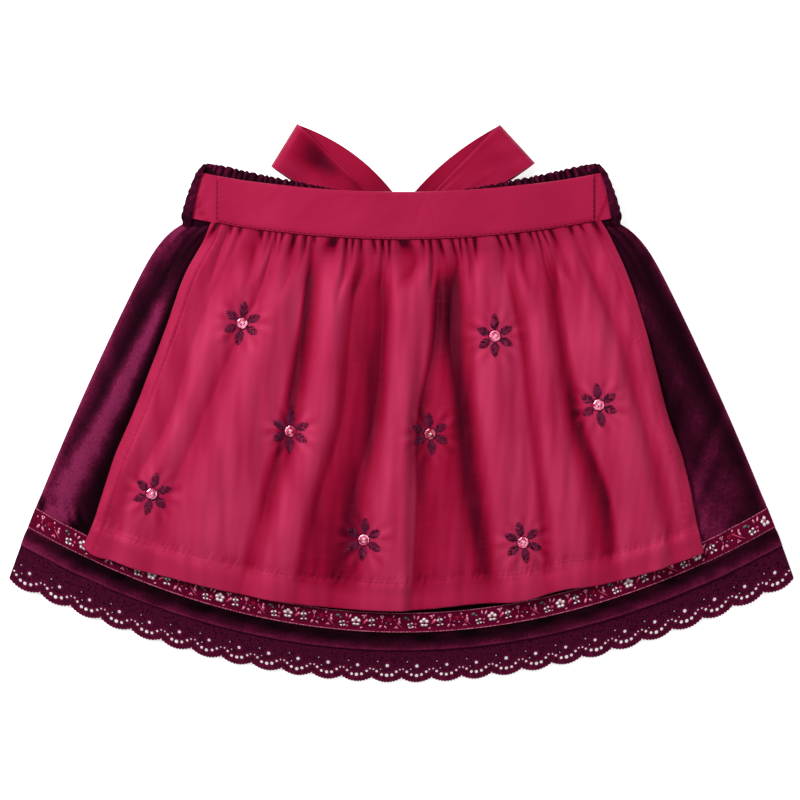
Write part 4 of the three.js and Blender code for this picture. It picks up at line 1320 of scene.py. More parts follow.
def casing_back():
    def top_line(u):
        return 122 + 22 * np.abs(u) ** 1.35

    u, share, x, y = casing_grid(top_line, RUFFLES * 10, 14)
    across = (u + 1) / 2 + 0.003 * np.sin(TAU * 7.3 * u) + 0.0016 * np.sin(TAU * 19 * u + 1)
    folds = 0.75 * np.abs(np.sin(math.pi * RUFFLES * across)) ** 0.8
    folds = folds + 0.25 * np.abs(np.sin(math.pi * RUFFLES * 0.37 * across))
    ruffle = smooth(0.72, 1, share)
    y = y + 1.4 * folds * ruffle * seam_ease(u)
    strength = 0.7 + 0.3 * np.sin(TAU * 11.3 * across)
    channel = 1 - 0.5 * bump(0.8, 0.05, share)
    low = waist_bed(x) + CASING_WAVE * folds * seam_ease(u) * strength
    edge = casing_edge(u, share, 1.6)
    puffed = 0.7 * folds * seam_ease(u) * smooth(0.35, 0.6, share)
    over = low + (CASING_BACK * channel + puffed) * (0.25 + 0.75 * edge)
    # Painted light on the ruffles' crests towards the top edge, lighter towards both ends, with random
    # mottles.
    pile_and_light = 0.03 + 0.62 * folds ** 2 * smooth(0.3, 0.9, share) + 0.08 * crumple(x, y, 5, 18)
    pile_and_light = pile_and_light + 0.2 * smooth(0.8, 1, np.abs(u))
    lay = stack(u * CASING_LET_OUT, share * CASING_CUT, np.clip(pile_and_light, 0.03, 1))
    return cloth("casing_back_velvet", stack(x, y, low), stack(x, y, over), lay, VELVET_CLOTH)


def casing_front_low(x):
    return waist_bed(x) + CASING_WAVE + CASING_BACK + LIE


def casing_front():
    def top_line(u):
        return 125 + 11 * u * u + 6 * smooth(0.9, 1, u)

    u, share, x, y = casing_grid(top_line, 120, 12)
    low = casing_front_low(x)
    edge = casing_edge(u, share, 1.4)
    over = low + CASING_FRONT * (0.3 + 0.7 * edge)
    # Its colour is dark, and lighter towards both ends.
    lay = stack(u * CASING_HALF, share * CASING_CUT, 0.15 + 0.1 * smooth(0.9, 1, np.abs(u)))
    return cloth("casing_front_velvet", stack(x, y, low), stack(x, y, over), lay, VELVET_CLOTH)


waist_back = casing_back()
waist_front = casing_front()

# %% [markdown]
# Ties and belt loops are strips that bend round the side of the waist. Each is made from the middle
# line of its thickness, in side view, and pushed out to both sides of that line.

# %% Bent strips
def band_low(x):
    return casing_front_low(x) + CASING_FRONT + LIE


def bent_strip(name, path, lines, thickness, locate, material, lay_width, light):
    """path gives the middle line (distance, height) for a line; locate puts it in place."""
    faces_over, faces_under, lays = [], [], []
    for line in lines:
        middle = np.array(path(line))
        ahead = np.gradient(middle, axis=0)
        length = np.hypot(ahead[:, 0], ahead[:, 1])[:, None]
        normal = np.stack([ahead[:, 1], -ahead[:, 0]], -1) / length
        outer, inner = middle + normal * thickness / 2, middle - normal * thickness / 2
        faces_over.append(np.stack(locate(*outer.T, line), -1))
        faces_under.append(np.stack(locate(*inner.T, line), -1))
        run = np.concatenate([[0], np.cumsum(np.hypot(*np.diff(middle, axis=0).T))])
        share = (line - lines[0]) / (lines[-1] - lines[0])
        lit = light(*faces_over[-1].T)
        lays.append(np.stack([run, np.full_like(run, share * lay_width), lit], -1))
    return cloth(name, np.array(faces_under), np.array(faces_over), np.array(lays), material)


BEND_RADIUS = 0.7


def round_the_edge(edge, back_run, front_run, low, high):
    turns = np.radians(np.linspace(-90, 0, 6))
    low, high, centre = low + BEND_RADIUS, high - BEND_RADIUS, edge - BEND_RADIUS
    steps = [(centre + BEND_RADIUS * math.cos(t), BEND_RADIUS * math.sin(t)) for t in turns]
    lower = [(x, low + z) for x, z in steps]
    upper = [(x, high - z) for x, z in steps[::-1]]
    rise_points = [(edge, z) for z in np.linspace(low, high, 6)[1:-1]]
    return list(back_run) + lower + rise_points + upper + list(front_run)


# %% Ties
TIE_LINES = np.linspace(0, 1, 15)


def make_tie(name, side, band_end):
    start = KNOT_HALF + SEAM
    places = np.concatenate([np.linspace(start, 60, 22), np.linspace(62, 118.5, 26)])
    half = TAFFETA / 2

    def path(share):
        edge = float(casing_side(lerp(band_bottom(127.0), band_top(119.0), share))) + SEAM + half
        back_run = [(x, float(tie_low(x)) + half) for x in places]
        high = float(band_low(edge)) + half
        front_start = abs(band_end) + SEAM / 5
        front = np.linspace(edge - 1.2, front_start, 7)
        sway = 0.25 * np.sin(2.1 * front + 3 * share) * (front > front_start)
        front_run = [(x, float(band_low(x)) + half + s) for x, s in zip(front, sway)]
        return round_the_edge(edge, back_run, front_run, BELT_LOOP + SEAM + half, high)

    def locate(x, z, share):
        narrow = 1 - smooth(start, 55, x)
        low = lerp(band_bottom(x), 105, narrow)
        high = lerp(band_top(x), 123, narrow)
        return side * x, lerp(low, high, share), z

    def light(x, y, z):
        # Painted shade: on the right tie beyond the band's end near its top, along a painted crease line, and
        # where the tie lies low behind the waist.
        shaded = 0.45 * smooth(125, 132, side * x) * (1 - smooth(0, 14, band_top(x) - y)) if side > 0 else 0
        crease = 0.3 * bump(0, 0.9, (side * x - 121) - 0.45 * (y - 118))
        return np.clip(0.7 - shaded - crease - 0.25 * (1 - smooth(3, 6, z)), 0, 1)

    return bent_strip(name, path, TIE_LINES, TAFFETA, locate, TAFFETA_CLOTH, 28, light)


tie_left = make_tie("tie_left_taffeta", -1, BAND_LEFT)
tie_right = make_tie("tie_right_taffeta", 1, BAND_RIGHT)


# %% Belt loops
def make_belt_loop(name, side):
    half = BELT_LOOP / 2

    def path(y):
        held = smooth(138.5, 142, y) + (1 - smooth(108.8, 110.2, y))
        over = float((1 - held) * (TAFFETA + LIE)) + 0.2 * math.sin(1.3 * y) + 0.12 * math.sin(2.9 * y)
        front_leg = float(lerp(BELT_LOOP_LEG, 1.0, smooth(110, 137, y)))
        edge = float(casing_side(y)) + SEAM + half + max(0, over)
        back = float(casing_side(y)) - BELT_LOOP_LEG
        high = float(band_low(edge)) + half + max(0, over)
        back_run = [(x, half) for x in np.linspace(back, edge - 0.9, 5)]
        front_run = [(x, high) for x in np.linspace(edge - 0.9, float(casing_side(y)) - front_leg, 5)]
        return round_the_edge(edge, back_run, front_run, half, high)

    def locate(x, z, y):
        return side * x, np.full_like(x, y), z

    def light(x, y, z):
        # Painted light on the part raised over the band, with random mottles.
        lit = 0.3 + 0.07 * crumple(x, y, 3.4, 19) + 0.2 * smooth(9, 12, z) * smooth(110, 118, y)
        return np.clip(lit, 0.1, 1)

    lower, upper = [106.4, 108.2, 109.8, 110.4], [138.4, 139.5, 141, 142.8]
    lines = np.concatenate([lower, np.linspace(112, 137, 20), upper])
    return bent_strip(name, path, lines, BELT_LOOP, locate, VELVET_CLOTH, 34, light)


loop_left = make_belt_loop("belt_loop_left_velvet", -1)
loop_right = make_belt_loop("belt_loop_right_velvet", 1)

# %% [markdown]
# ## The apron
# Taffeta is crisp: it falls in a few broad folds with rounded crests and sharp valleys, and in many
# small gathers where it is drawn into its band. The folds come from a short table that gives each
# crest and valley its place at five heights. Between a valley and a crest the cloth rises fast and
# rounds over, so the valleys stay narrow. Light and shade are painted into its colour too: a crest is
# painted light and a valley dark, by its height, unless its row gives a painted light of its own. On
# a valley's steep side the painted light turns from dark to light at once.

# %% Outline and folds of the apron
HEM_SWINGS = [{"at": at, "width": width, "lift": lift} for at, width, lift in (
    (-183, 9, -2.5), (-190, 3, 0.7), (-160, 16, -1.9), (40, 24, 2.0), (97, 16, 2.8))]
FOLD_DEPTHS = [-79.8, -37.8, 10.2, 58.2, 94.2]


def fold_row(height, *x, light=None, steep=None):
    """A crest or valley: its height, its place at each depth, how light it is painted, its steep side."""
    if light is None:
        light = 0.23 + 0.63 * float(smooth(0, 6, height))
    return {"height": height, "x": x, "light": light, "steep": steep}


APRON_FOLDS = [
    fold_row(0.6, -131.0, -143.5, -162.5, -181.0, -192.0, light=0.7),
    fold_row(4.4, -119.7, -137.1, -150.9, -173.7, -184.0),
    fold_row(3.4, -105.9, -123.9, -138.6, -165.0, -175.0, light=0.74),
    fold_row(5.6, -92.1, -113.0, -130.5, -154.0, -165.0),
    fold_row(3.0, -78.3, -98.1, -119.0, -138.9, -148.0, light=0.66),
    fold_row(6.0, -66.9, -81.3, -98.1, -117.9, -123.3),
    fold_row(0.0, -54.9, -60.3, -68.7, -81.0, -91.0, light=(0.1, 0.08, 0.15, 0.34, 0.5), steep="left"),
    fold_row(6.8, -36.9, -42.9, -48.3, -61.5, -71.1),
    fold_row(2.4, -26.7, -30.9, -35.7, -49.5, -57.3, light=0.36),
    fold_row(3.4, -20.1, -24.3, -29.7, -41.1, -47.7, light=0.38),
    fold_row(0.0, -11.5, -11.7, -17.0, -29.7, -36.0, light=0.24),
    fold_row(7.2, -0.3, -1.5, 0.3, -0.9, -0.9),
    fold_row(0.4, 22.7, 19.9, 10.5, 9.9, 8.0, light=(0.12, 0.18, 0.24, 0.2, 0.3), steep="left"),
    fold_row(2.8, 26.5, 24.5, 24.3, 26.9, 29.7, light=(0.12, 0.26, 0.5, 0.56, 0.58)),
    fold_row(0.0, 31.1, 29.5, 36.3, 41.7, 48.3, light=(0.05, 0.03, 0.06, 0.1, 0.22)),
    fold_row(6.8, 48.3, 54.3, 57.0, 62.7, 67.3),
    fold_row(3.2, 63.3, 72.3, 77.7, 83.7, 86.1, light=0.46, steep="left"),
    fold_row(5.8, 73.5, 83.1, 88.5, 94.5, 97.3),
    fold_row(0.4, 91.5, 96.1, 104.9, 122.0, 126.0, light=(0.3, 0.28, 0.17, 0.13, 0.32), steep="right"),
    fold_row(8.2, 104.7, 117.9, 134.7, 144.3, 152.1),
    fold_row(3.6, 113.3, 131.1, 144.9, 156.9, 163.5),
    fold_row(5.2, 122.1, 140.3, 153.3, 166.5, 173.1),
    fold_row(0.6, 135.5, 148.5, 160.8, 175.5, 182.0, light=0.7),
]
CREST_ROUND = 0.55
LIGHT_REACH, STEEP_REACH = 0.68, 0.24
APRON_HEM_CENTRE, APRON_HEM_RISE, APRON_HEM_HALF = -124.3, 36.3, 185


def apron_hem(x):
    even = APRON_HEM_CENTRE + APRON_HEM_RISE * (x / APRON_HEM_HALF) ** 2
    for swing in HEM_SWINGS:
        even = even + swing["lift"] * bump(swing["at"], swing["width"], x)
    return even


def fold_light(fold, y):
    """How light a crest or valley is painted, at all depths or at each."""
    light = fold["light"]
    return through(FOLD_DEPTHS, light, -y) if np.ndim(light) else light + 0 * y


def apron_fold(x, y):
    """The folds' height, and how light the cloth is painted there."""
    lines = [through(FOLD_DEPTHS, fold["x"], -y) for fold in APRON_FOLDS]
    height = np.where(x < lines[0], APRON_FOLDS[0]["height"], APRON_FOLDS[-1]["height"])
    light = fold_light(APRON_FOLDS[0], y)
    for i in range(len(lines) - 1):
        here, after = APRON_FOLDS[i], APRON_FOLDS[i + 1]
        valley, top = sorted((here, after), key=lambda fold: fold["height"])
        t = np.clip((x - lines[i]) / (lines[i + 1] - lines[i]), 0, 1)
        climb = t if top is after else 1 - t
        crest = np.sin(climb * math.pi / 2)
        shape = lerp(climb * climb * (3 - 2 * climb), crest, CREST_ROUND)
        side = "left" if valley is after else "right"
        reach = STEEP_REACH if valley["steep"] == side else LIGHT_REACH
        turned = lerp(fold_light(valley, y), fold_light(top, y), smooth(0, reach, climb))
        inside = (x >= lines[i]) & (x <= lines[i + 1])
        height = np.where(inside, lerp(valley["height"], top["height"], shape), height)
        light = np.where(inside, turned, light)
    return height, light


# %% [markdown]
# The gathers under the band are uneven, as hand-drawn gathers are: their spacing wanders, two and
# two run together a finger's width further down, and each has its own depth. The painted shade in
# the notch between two gathers has its own length and leans its own way.

# %% Gathers under the band
GATHER_HEIGHT = 3.2
PLEAT_HEIGHT = 2.6
NOTCHES = 60


def gathered(across, down):
    """Height of the gathers, and the painted shade of notches, valleys, lobes and the band's shadow."""
    wander = 0.42 * np.sin(TAU * 4.7 * across + 0.8) + 0.3 * np.sin(TAU * 10.3 * across + 2.1)
    phase = APRON_GATHERS * across + wander
    depth = 0.75 + 0.35 * np.sin(TAU * 8.9 * across + 1.7)
    sharp = np.abs(np.sin(math.pi * phase))
    soft = 0.5 - 0.5 * np.cos(TAU * phase)
    tight = GATHER_HEIGHT * depth * lerp(soft, sharp, 0.6) * np.exp(-down / 0.05)
    pair = np.abs(np.sin(math.pi * (phase / 2 + 0.12 * np.sin(30 * down + 6 * across))))
    wide = PLEAT_HEIGHT * (0.7 + 0.4 * np.sin(TAU * 6.1 * across)) * pair * bump(0.085, 0.065, down)
    draw = np.random.default_rng(12)
    lengths = draw.uniform(0.014, 0.042, NOTCHES)
    depths = draw.uniform(0.6, 1.0, NOTCHES)
    leans = draw.uniform(-6, 6, NOTCHES)
    nearest = np.clip(np.round(phase), 0, NOTCHES - 1).astype(int)
    aside = np.abs(phase - nearest + leans[nearest] * down) / (0.12 + 1.2 * down)
    # Painted shade: dark in each notch, a painted shadow just under the band, dark in the valleys between
    # pairs of gathers, and painted light and shade across each lobe.
    notch_shade = depths[nearest] * np.exp(-(aside ** 2.5)) * np.exp(-((down / lengths[nearest]) ** 2))
    band_shadow = 0.3 * np.exp(-down / 0.007)
    strength = 0.5 + 0.5 * np.sin(TAU * 7.7 * across + 2.2)
    valley = strength * (1 - pair) ** 2 * bump(0.08, 0.06, down)
    lobe_shading = 0.32 * (0.62 - sharp) * np.exp(-down / 0.035)
    return tight + wide, 1.3 * notch_shade + 0.5 * valley + band_shadow + lobe_shading


# %% [markdown]
# Embroidery draws the cloth together, so every flower stands in a small star of creases. The side
# hems and the wide bottom hem are folded double: they stand a thread higher than the single cloth,
# and the stitching puckers both sides of its line.

# %% Creases of stitching and use
FLOWERS = [
    {"x": x, "y": y, "turn": turn, "tint": tint}
    for x, y, turn, tint in (
        (-95.1, 47.4, -8, "pink"), (55.5, 39.8, 2, "pink"), (-66.3, -16.8, -4, "rose"),
        (17.0, -18.5, 4, "dark"), (117.3, -1.2, 6, "pink"), (-148.8, -54.1, -12, "pink"),
        (-22.5, -81.6, -2, "pink"), (72.4, -83.1, 10, "pink"))
]


def star_creases(x, y):
    """Rays of creases round each flower, about one high, and the dip under it."""
    rays, dip = np.zeros_like(x), np.zeros_like(x)
    for number, flower in enumerate(FLOWERS):
        away = np.hypot(x - flower["x"], y - flower["y"])
        turn = np.arctan2(y - flower["y"], x - flower["x"])
        rays += (np.sin(12 * turn + number) + 0.7 * np.sin(7 * turn + 2.3 * number)) * bump(13, 4.5, away)
        dip += bump(0, 9, away)
    return rays, dip


def hem_creases(from_side, above):
    """Double cloth at the hems and a groove at each stitch line."""
    side_line = from_side - SIDE_HEM
    bottom_line = above - BOTTOM_HEM
    inner = smooth(SIDE_HEM - 1, SIDE_HEM + 1, from_side)
    doubled = 0.35 * (1 - smooth(-0.8, 0.4, side_line)) + 0.4 * (1 - smooth(-0.8, 0.4, bottom_line)) * inner
    return doubled - 0.4 * bump(0, 0.9, side_line) - 0.45 * bump(0, 1.0, bottom_line) * inner


def apron_detail(x, y, down, from_side, above, rays, dip):
    long_ripples = 0.3 * crumple(x - 0.2 * x / 190 * y, y, 17, 31, tall=6.5)
    short_ripples = 0.1 * crumple(x, y, 7, 32, tall=3.0)
    free = smooth(0.03, 0.15, down)
    return free * (long_ripples + short_ripples) + 0.28 * rays - 0.5 * dip + hem_creases(from_side, above)


# %% [markdown]
# Taut cloth doesn't follow a step below it: it bridges the step. So the apron lies on the front's
# envelope, mixed below the waist with the envelope's own average up and down, and the corner where
# the two heights meet is rounded off.

# %% What the apron lies on
BRIDGE_STEPS = np.arange(-21, 22, 6.0)
BRIDGE_WIDTH = 11
BRIDGE_ROUND = 1.0


def apron_bed(x, y):
    lie = front_envelope(x, y)
    weights = np.exp(-((BRIDGE_STEPS / BRIDGE_WIDTH) ** 2))
    beside = [weight * front_envelope(x, y + step) for weight, step in zip(weights, BRIDGE_STEPS)]
    bridged = sum(beside) / weights.sum()
    higher = (lie + bridged + np.sqrt((lie - bridged) ** 2 + BRIDGE_ROUND ** 2)) / 2
    return lie + (higher - lie) * (1 - smooth(26, 70, seam_line(x) - y))


# %% Build the apron
APRON_ROWS = 118
APRON_COLUMNS = 380
APRON_CLEAR = 0.7
CREASE_ROOM = 0.35
FOLD_SCALE = 1.15
APRON_HEM_WIDTH = 340


def apron_place(across, down):
    """Where a share across and down the apron lies, in plan."""
    left, right = apron_sides(down)
    top_x = lerp(APRON_LEFT[0], APRON_RIGHT[0], across)
    hem_x = lerp(APRON_LEFT[-1], APRON_RIGHT[-1], across)
    return lerp(left, right, across), lerp(band_bottom(top_x) - SEAM, apron_hem(hem_x), down)


def apron_surface():
    top_rows = np.array([0, 0.0035, 0.008, 0.014])
    rows = np.linspace(0.02, 1 - 3.2 / APRON_LENGTH, APRON_ROWS)
    bottom_rows = 1 - RIM_STEPS[:4][::-1] / APRON_LENGTH
    down = np.concatenate([top_rows, rows, bottom_rows])[:, None]
    across = edged(0, 1, APRON_COLUMNS, unit=1 / APRON_HEM_WIDTH)[None, :]
    left, right = apron_sides(down)
    x, y = apron_place(across, down)
    across, down = across + 0 * down, down + 0 * across
    from_side = np.minimum(across, 1 - across) * (right - left)
    above = (1 - down) * APRON_LENGTH
    trimmed = (RIBBON + SEAM) * (1 - smooth(26, 36, rise(x, y, 0)))
    base = apron_bed(x, y) + APRON_CLEAR + trimmed + CREASE_ROOM
    sides = smooth(0, 0.03, across) * (1 - smooth(0.97, 1, across))
    share = lerp(0.1, 1, smooth(0.02, 0.2, down)) * (1 - 0.3 * smooth(0.6, 1, down))
    gathers, gather_shade = gathered(across, down)
    folds, fold_shade = apron_fold(x, y)
    rays, dip = star_creases(x, y)
    low = base + sides * gathers + FOLD_SCALE * share * folds
    low = low + apron_detail(x, y, down, from_side, above, rays, dip)
    edge = np.minimum(rounded(from_side, 0.9), rounded(above, 0.9))
    over = low + TAFFETA * (0.35 + 0.65 * edge)
    # The colour's painted light and shade: the folds' painted light, calmer near the band, the sides and the
    # bottom hem, less the gathers' painted shade and a little painted shade along the star creases. Random
    # mottles vary it.
    hem_calm = lerp(0.36, 1, smooth(BOTTOM_HEM - 8, BOTTOM_HEM + 2, above))
    unlike = smooth(0.03, 0.14, down) * smooth(3, 10, from_side) * hem_calm
    light = lerp(0.74, fold_shade, unlike) - 0.78 * gather_shade - 0.08 * rays
    mottled = 0.045 * crumple(x, y, 15, 33, tall=5.0) + 0.025 * crumple(x, y, 5, 34, tall=7.0)
    light = light + mottled * unlike
    lay = stack((across - 0.5) * APRON_CUT_WIDTH, down * APRON_CUT_LENGTH, np.clip(light, 0.0, 1.0))
    return stack(x, y, low), stack(x, y, over), lay


apron_under, apron_over, apron_lay = apron_surface()
apron = cloth("apron_taffeta", apron_under, apron_over, apron_lay, TAFFETA_CLOTH, 80)
apron_tree = surface_of(apron)

# %% [markdown]
# ## Band and bow
# The band is taffeta folded double over stiffening, so it is smooth, with round edges. Its ends meet
# the ties in a sewn seam. Behind the waist the ties end in a bow: two loops stand above the band,
# each a strip that runs out from the knot, turns over and comes back.

# %% Band
BAND_LONG, BAND_WIDE = 226, 29
BAND_STITCH_INSET = 1.4


def make_band():
    across = edged(0, 1, 190, unit=1 / BAND_LONG)[None, :]
    share = edged(0, 1, 18, unit=1 / BAND_WIDE)[:, None]
    x = lerp(BAND_LEFT, BAND_RIGHT, across) + 0 * share
    y = lerp(band_bottom(x), band_top(x), share)
    from_end = np.minimum(across, 1 - across) * BAND_LONG
    edge = np.minimum(rounded(np.minimum(share, 1 - share) * BAND_WIDE, 1.3), rounded(from_end, 0.8))
    soft = 0.07 * crumple(x, y, 40, 41, tall=0.7) + 0.03 * crumple(x, y, 9, 42)
    creases = -0.16 * bump(0, 1.2, (x - 10) - 0.3 * (y - 112))
    creases = creases - 0.16 * bump(0, 1.0, (x - 17) + 0.3 * (y - 118))
    groove = -0.35 * bump(BAND_STITCH_INSET / BAND_WIDE, 0.7 / BAND_WIDE, share)
    low = band_low(x)
    over = low + BAND * (0.3 + 0.7 * edge) + (soft + creases * smooth(0.1, 0.4, share) + groove) * edge
    lay = stack(x, 300 + share * BAND_WIDE, 0.67 + 0.02 * crumple(x, y, 40, 43))
    return cloth("band_taffeta", stack(x, y, low), stack(x, y, over), lay, TAFFETA_CLOTH, 80)


band = make_band()
band_tree = surface_of(band)

# %% Bow loops
# Each loop's "cloud" sets how dark the painted shade patch on its near face is.
BOW_LOOPS = {
    "left": {
        "side": -1, "cloud": 0.52, "fold_high": (62.7, 167.5), "fold_low": (78.3, 142),
        "near": {"high": (13.3, 120), "bend_high": (38, 144), "low": (13.3, 108), "bend_low": (52, 125)},
        "far": {"high": (1, 121), "bend_high": (24, 154), "low": (13.3, 106), "bend_low": (45, 118)},
    },
    "right": {
        "side": 1, "cloud": 0.08, "fold_high": (59.1, 167), "fold_low": (80.1, 144),
        "near": {"high": (13.3, 120), "bend_high": (34, 143), "low": (13.3, 108), "bend_low": (55, 127)},
        "far": {"high": (3, 121), "bend_high": (25, 149), "low": (13.3, 106), "bend_low": (45, 118)},
    },
}
LOOP_LENGTH = 75
LOOP_TURN = 0.93
LOOP_ROWS, RUN_STEPS, TURN_STEPS = 27, 46, 13


def curve_point(start, past, end, t):
    start, past, end = (np.array(p)[:, None, None] for p in (start, past, end))
    return (1 - t) ** 2 * start + 2 * t * (1 - t) * past + t * t * end


def crease_all(share, out):
    return np.sin(TAU * 2.1 * share + 6 * out) * np.sin(TAU * 1.3 * out + 1)


def bow_surface(shape, inset):
    share = np.linspace(0, 1, LOOP_ROWS)[:, None]
    runs = np.linspace(0, LOOP_TURN, RUN_STEPS)
    turns = np.radians(np.linspace(-90, 90, TURN_STEPS + 2)[1:-1])

    def upper(t):
        return 2.3 + 1.2 * smooth(0, 0.3, t) + 5.0 * smooth(0.62, 0.93, t)

    def edge_point(layer, t):
        high = curve_point(layer["high"], layer["bend_high"], shape["fold_high"], t[None, :])
        low = curve_point(layer["low"], layer["bend_low"], shape["fold_low"], t[None, :])
        return lerp(low, high, share)

    def creases(t):
        drawn = np.exp(-t / 0.3)[None, :]
        fan = 0.5 * np.sin(TAU * 3.1 * share + 0.7) + 0.3 * np.sin(TAU * 5.3 * share + 2)
        return 0.8 * drawn * fan * smooth(0.0, 0.06, t)[None, :]

    reach = 1 - LOOP_TURN - inset / LOOP_LENGTH
    top = float(upper(LOOP_TURN))
    far = edge_point(shape["far"], runs)
    out = LOOP_TURN + reach * np.cos(turns)
    nearness = (np.sin(turns) + 1) / 2
    turned = lerp(edge_point(shape["far"], out), edge_point(shape["near"], out), nearness[None, None, :])
    near = edge_point(shape["near"], runs)[:, :, ::-1]
    x = np.concatenate([far[0], turned[0], near[0]], 1)
    y = np.concatenate([far[1], turned[1], near[1]], 1)
    crease = creases(runs)
    z_far = inset + np.maximum(0, 0.5 * crease)
    z_turn = (top / 2 + (top / 2 - inset) * np.sin(turns))[None, :] + 0 * share
    z_near = ((upper(runs) - inset)[None, :] + crease)[:, ::-1]
    z = np.concatenate([z_far + 0 * share, z_turn, z_near], 1)
    run = np.linspace(0, 2 * LOOP_LENGTH, x.shape[1])[None, :]
    out_near = np.concatenate([np.zeros(RUN_STEPS + TURN_STEPS), runs[::-1]])[None, :]
    # Painted light and shade: on the near face a painted shade patch and painted shade a little way out from
    # the knot, and a painted highlight along its top edge; the far layer is painted darker towards the knot.
    cloud = bump(0.66, 0.23, out_near) * bump(0.74, 0.3, share)
    folded = bump(0.25, 0.12, out_near) * share
    near_light = 0.6 - shape["cloud"] * (cloud + 0.6 * folded) + 0.04 * crease_all(share, out_near)
    far_light = 0.5 - 0.2 * smooth(0.5, 0.1, run / LOOP_LENGTH)
    near_light = near_light + 0.25 * smooth(0.94, 0.99, share)
    lit = np.where(run < LOOP_LENGTH * 0.98, far_light, near_light)
    lay = stack(400 + run, share * 34, np.clip(lit, 0, 1))
    return stack(shape["side"] * x, y, z), lay


def make_bow_loop(name, shape):
    outer, lay = bow_surface(shape, 0)
    inner, _ = bow_surface(shape, TAFFETA)
    return cloth(name, inner, outer, lay, TAFFETA_CLOTH, 70)


bow_left, bow_right = (make_bow_loop(f"bow_loop_{hand}_taffeta", BOW_LOOPS[hand]) for hand in BOW_LOOPS)


# %% Knot and tails
KNOT_RIM, KNOT_GROOVE = 1.6, 0.35


def make_knot():
    b = np.linspace(-1, 1, 33)[:, None]
    a = np.linspace(-1, 1, 33)[None, :]
    inside = (1 - a ** 4) * (1 - b ** 4)
    dome = KNOT_RIM + (KNOT_HEIGHT - KNOT_RIM) * np.sqrt(inside)
    x = a * (KNOT_HALF - KNOT_RIM * b * b)
    y = lerp(KNOT_LOW, KNOT_HIGH, (b + 1) / 2) + 0 * a
    wound = KNOT_GROOVE * np.sin(9 * a + 1.4 * b) * inside
    over = stack(x, y, dome + wound - KNOT_GROOVE * inside)
    under = stack(x, y, np.zeros_like(x))
    # Painted lighter on the wound ridges and darker in their grooves.
    lay = stack(600 + x, y, 0.65 + 0.1 * wound)
    return cloth("bow_knot_taffeta", under, over, lay, TAFFETA_CLOTH, 80)


def make_tail(name, side, length):
    down = edged(0, 1, 70, unit=1 / length)[:, None]
    share = edged(0, 1, 14, unit=1 / 30)[None, :]
    centre = 7 + 10 * smooth(0, 0.3, down) + 14 * down
    half = lerp(6, 15, smooth(0, 0.35, down))
    x = side * (centre + half * (2 * share - 1))
    y = KNOT_LOW - SEAM - length * down - 10 * down ** 8 * share
    hem = np.minimum(np.minimum(share, 1 - share) * 2 * half, (1 - down) * length)
    edge = rounded(hem, 0.8)
    doubled = 0.12 * (1 - smooth(3.2, 4.0, hem))
    over = TAFFETA * (0.3 + 0.55 * edge) + doubled * edge
    lay = stack(700 + share * 30 + 0 * down, down * length, 0.66 + 0.05 * crumple(x, y, 30, 44))
    return cloth(name, stack(x, y, np.zeros_like(x)), stack(x, y, over), lay, TAFFETA_CLOTH, 80)


knot = make_knot()
tail_left = make_tail("bow_tail_left_taffeta", -1, 162)
tail_right = make_tail("bow_tail_right_taffeta", 1, 154)

# %% [markdown]
# ## Thread work
# A strand of thread is a thin ridge with four sides, lying on its cloth and pinched at both ends
# where it dives through. All strands of one kind are built at once in numpy, then joined in one
# mesh, because thousands of separate objects would slow everything down.

# %% Strands
def strands(name, runs, width, height, material, shares, tree=None):
    """runs is an array of strands, each a row of places (x, y, z) in millimetres."""
    runs = np.asarray(runs, float)
    count, stations = runs.shape[:2]
    if tree is not None:
        runs[..., 2] = heights(tree, runs[..., 0], runs[..., 1])
    ahead = np.gradient(runs, axis=1)
    flat = np.hypot(ahead[..., 0], ahead[..., 1])[..., None]
    left = np.stack([-ahead[..., 1], ahead[..., 0], np.zeros_like(ahead[..., 0])], -1) / flat
    taper = (0.35 + 0.65 * np.sin(np.linspace(0.12, math.pi - 0.12, stations)))[None, :, None]
    up = np.array([0, 0, 1.0])
    aside, lift = left * width / 2 * taper, up * height * taper
    around = np.stack([runs + aside, runs + lift, runs - aside, runs - 0.6 * lift], 2)
    points = around.reshape(-1, 3)
    faces = []
    for s in range(stations - 1):
        for k in range(4):
            a, b = s * 4 + k, s * 4 + (k + 1) % 4
            faces.append((a, a + 4, b + 4, b))
    last = (stations - 1) * 4
    faces += [(0, 1, 2, 3), (last + 3, last + 2, last + 1, last)]
    every = (np.array(faces)[None] + np.arange(count)[:, None, None] * stations * 4).reshape(-1, 4)
    if signed_volume(points, every) < 0:
        every = every[:, ::-1]
    piece = new_piece(name, points, every, material)
    steps = np.hypot(*np.diff(runs[..., :2], axis=1).transpose(2, 0, 1))
    run_length = np.concatenate([np.zeros((count, 1)), np.cumsum(steps, 1)], 1)
    every_share = np.repeat(np.asarray(shares)[:, None], stations, 1)
    lay = np.stack([run_length, every_share, np.zeros_like(run_length)], -1)
    keep_lay(piece, np.repeat(lay[:, :, None], 4, 2))
    print(name, count, "strands,", len(every) * 2, "triangles")
    return piece


# %% [markdown]
# Each flower has six leaf-shaped petals in satin stitch. From a petal's midrib the threads slant out
# to both edges, so that the petal looks feathered. The stitches are a little uneven in length, as
# machine embroidery is on a soft cloth. A ring of dark stitches runs round each flower's sequin.

# %% Embroidered petals
PETAL_START, PETAL_END, PETAL_WIDTH = 3.9, 12.5, 5.7
THREAD_PITCH = 0.42
RING_STITCHES, RING_RADIUS = 24, 3.75
THREAD_SLANT = 0.8
STRAND_STATIONS = 5


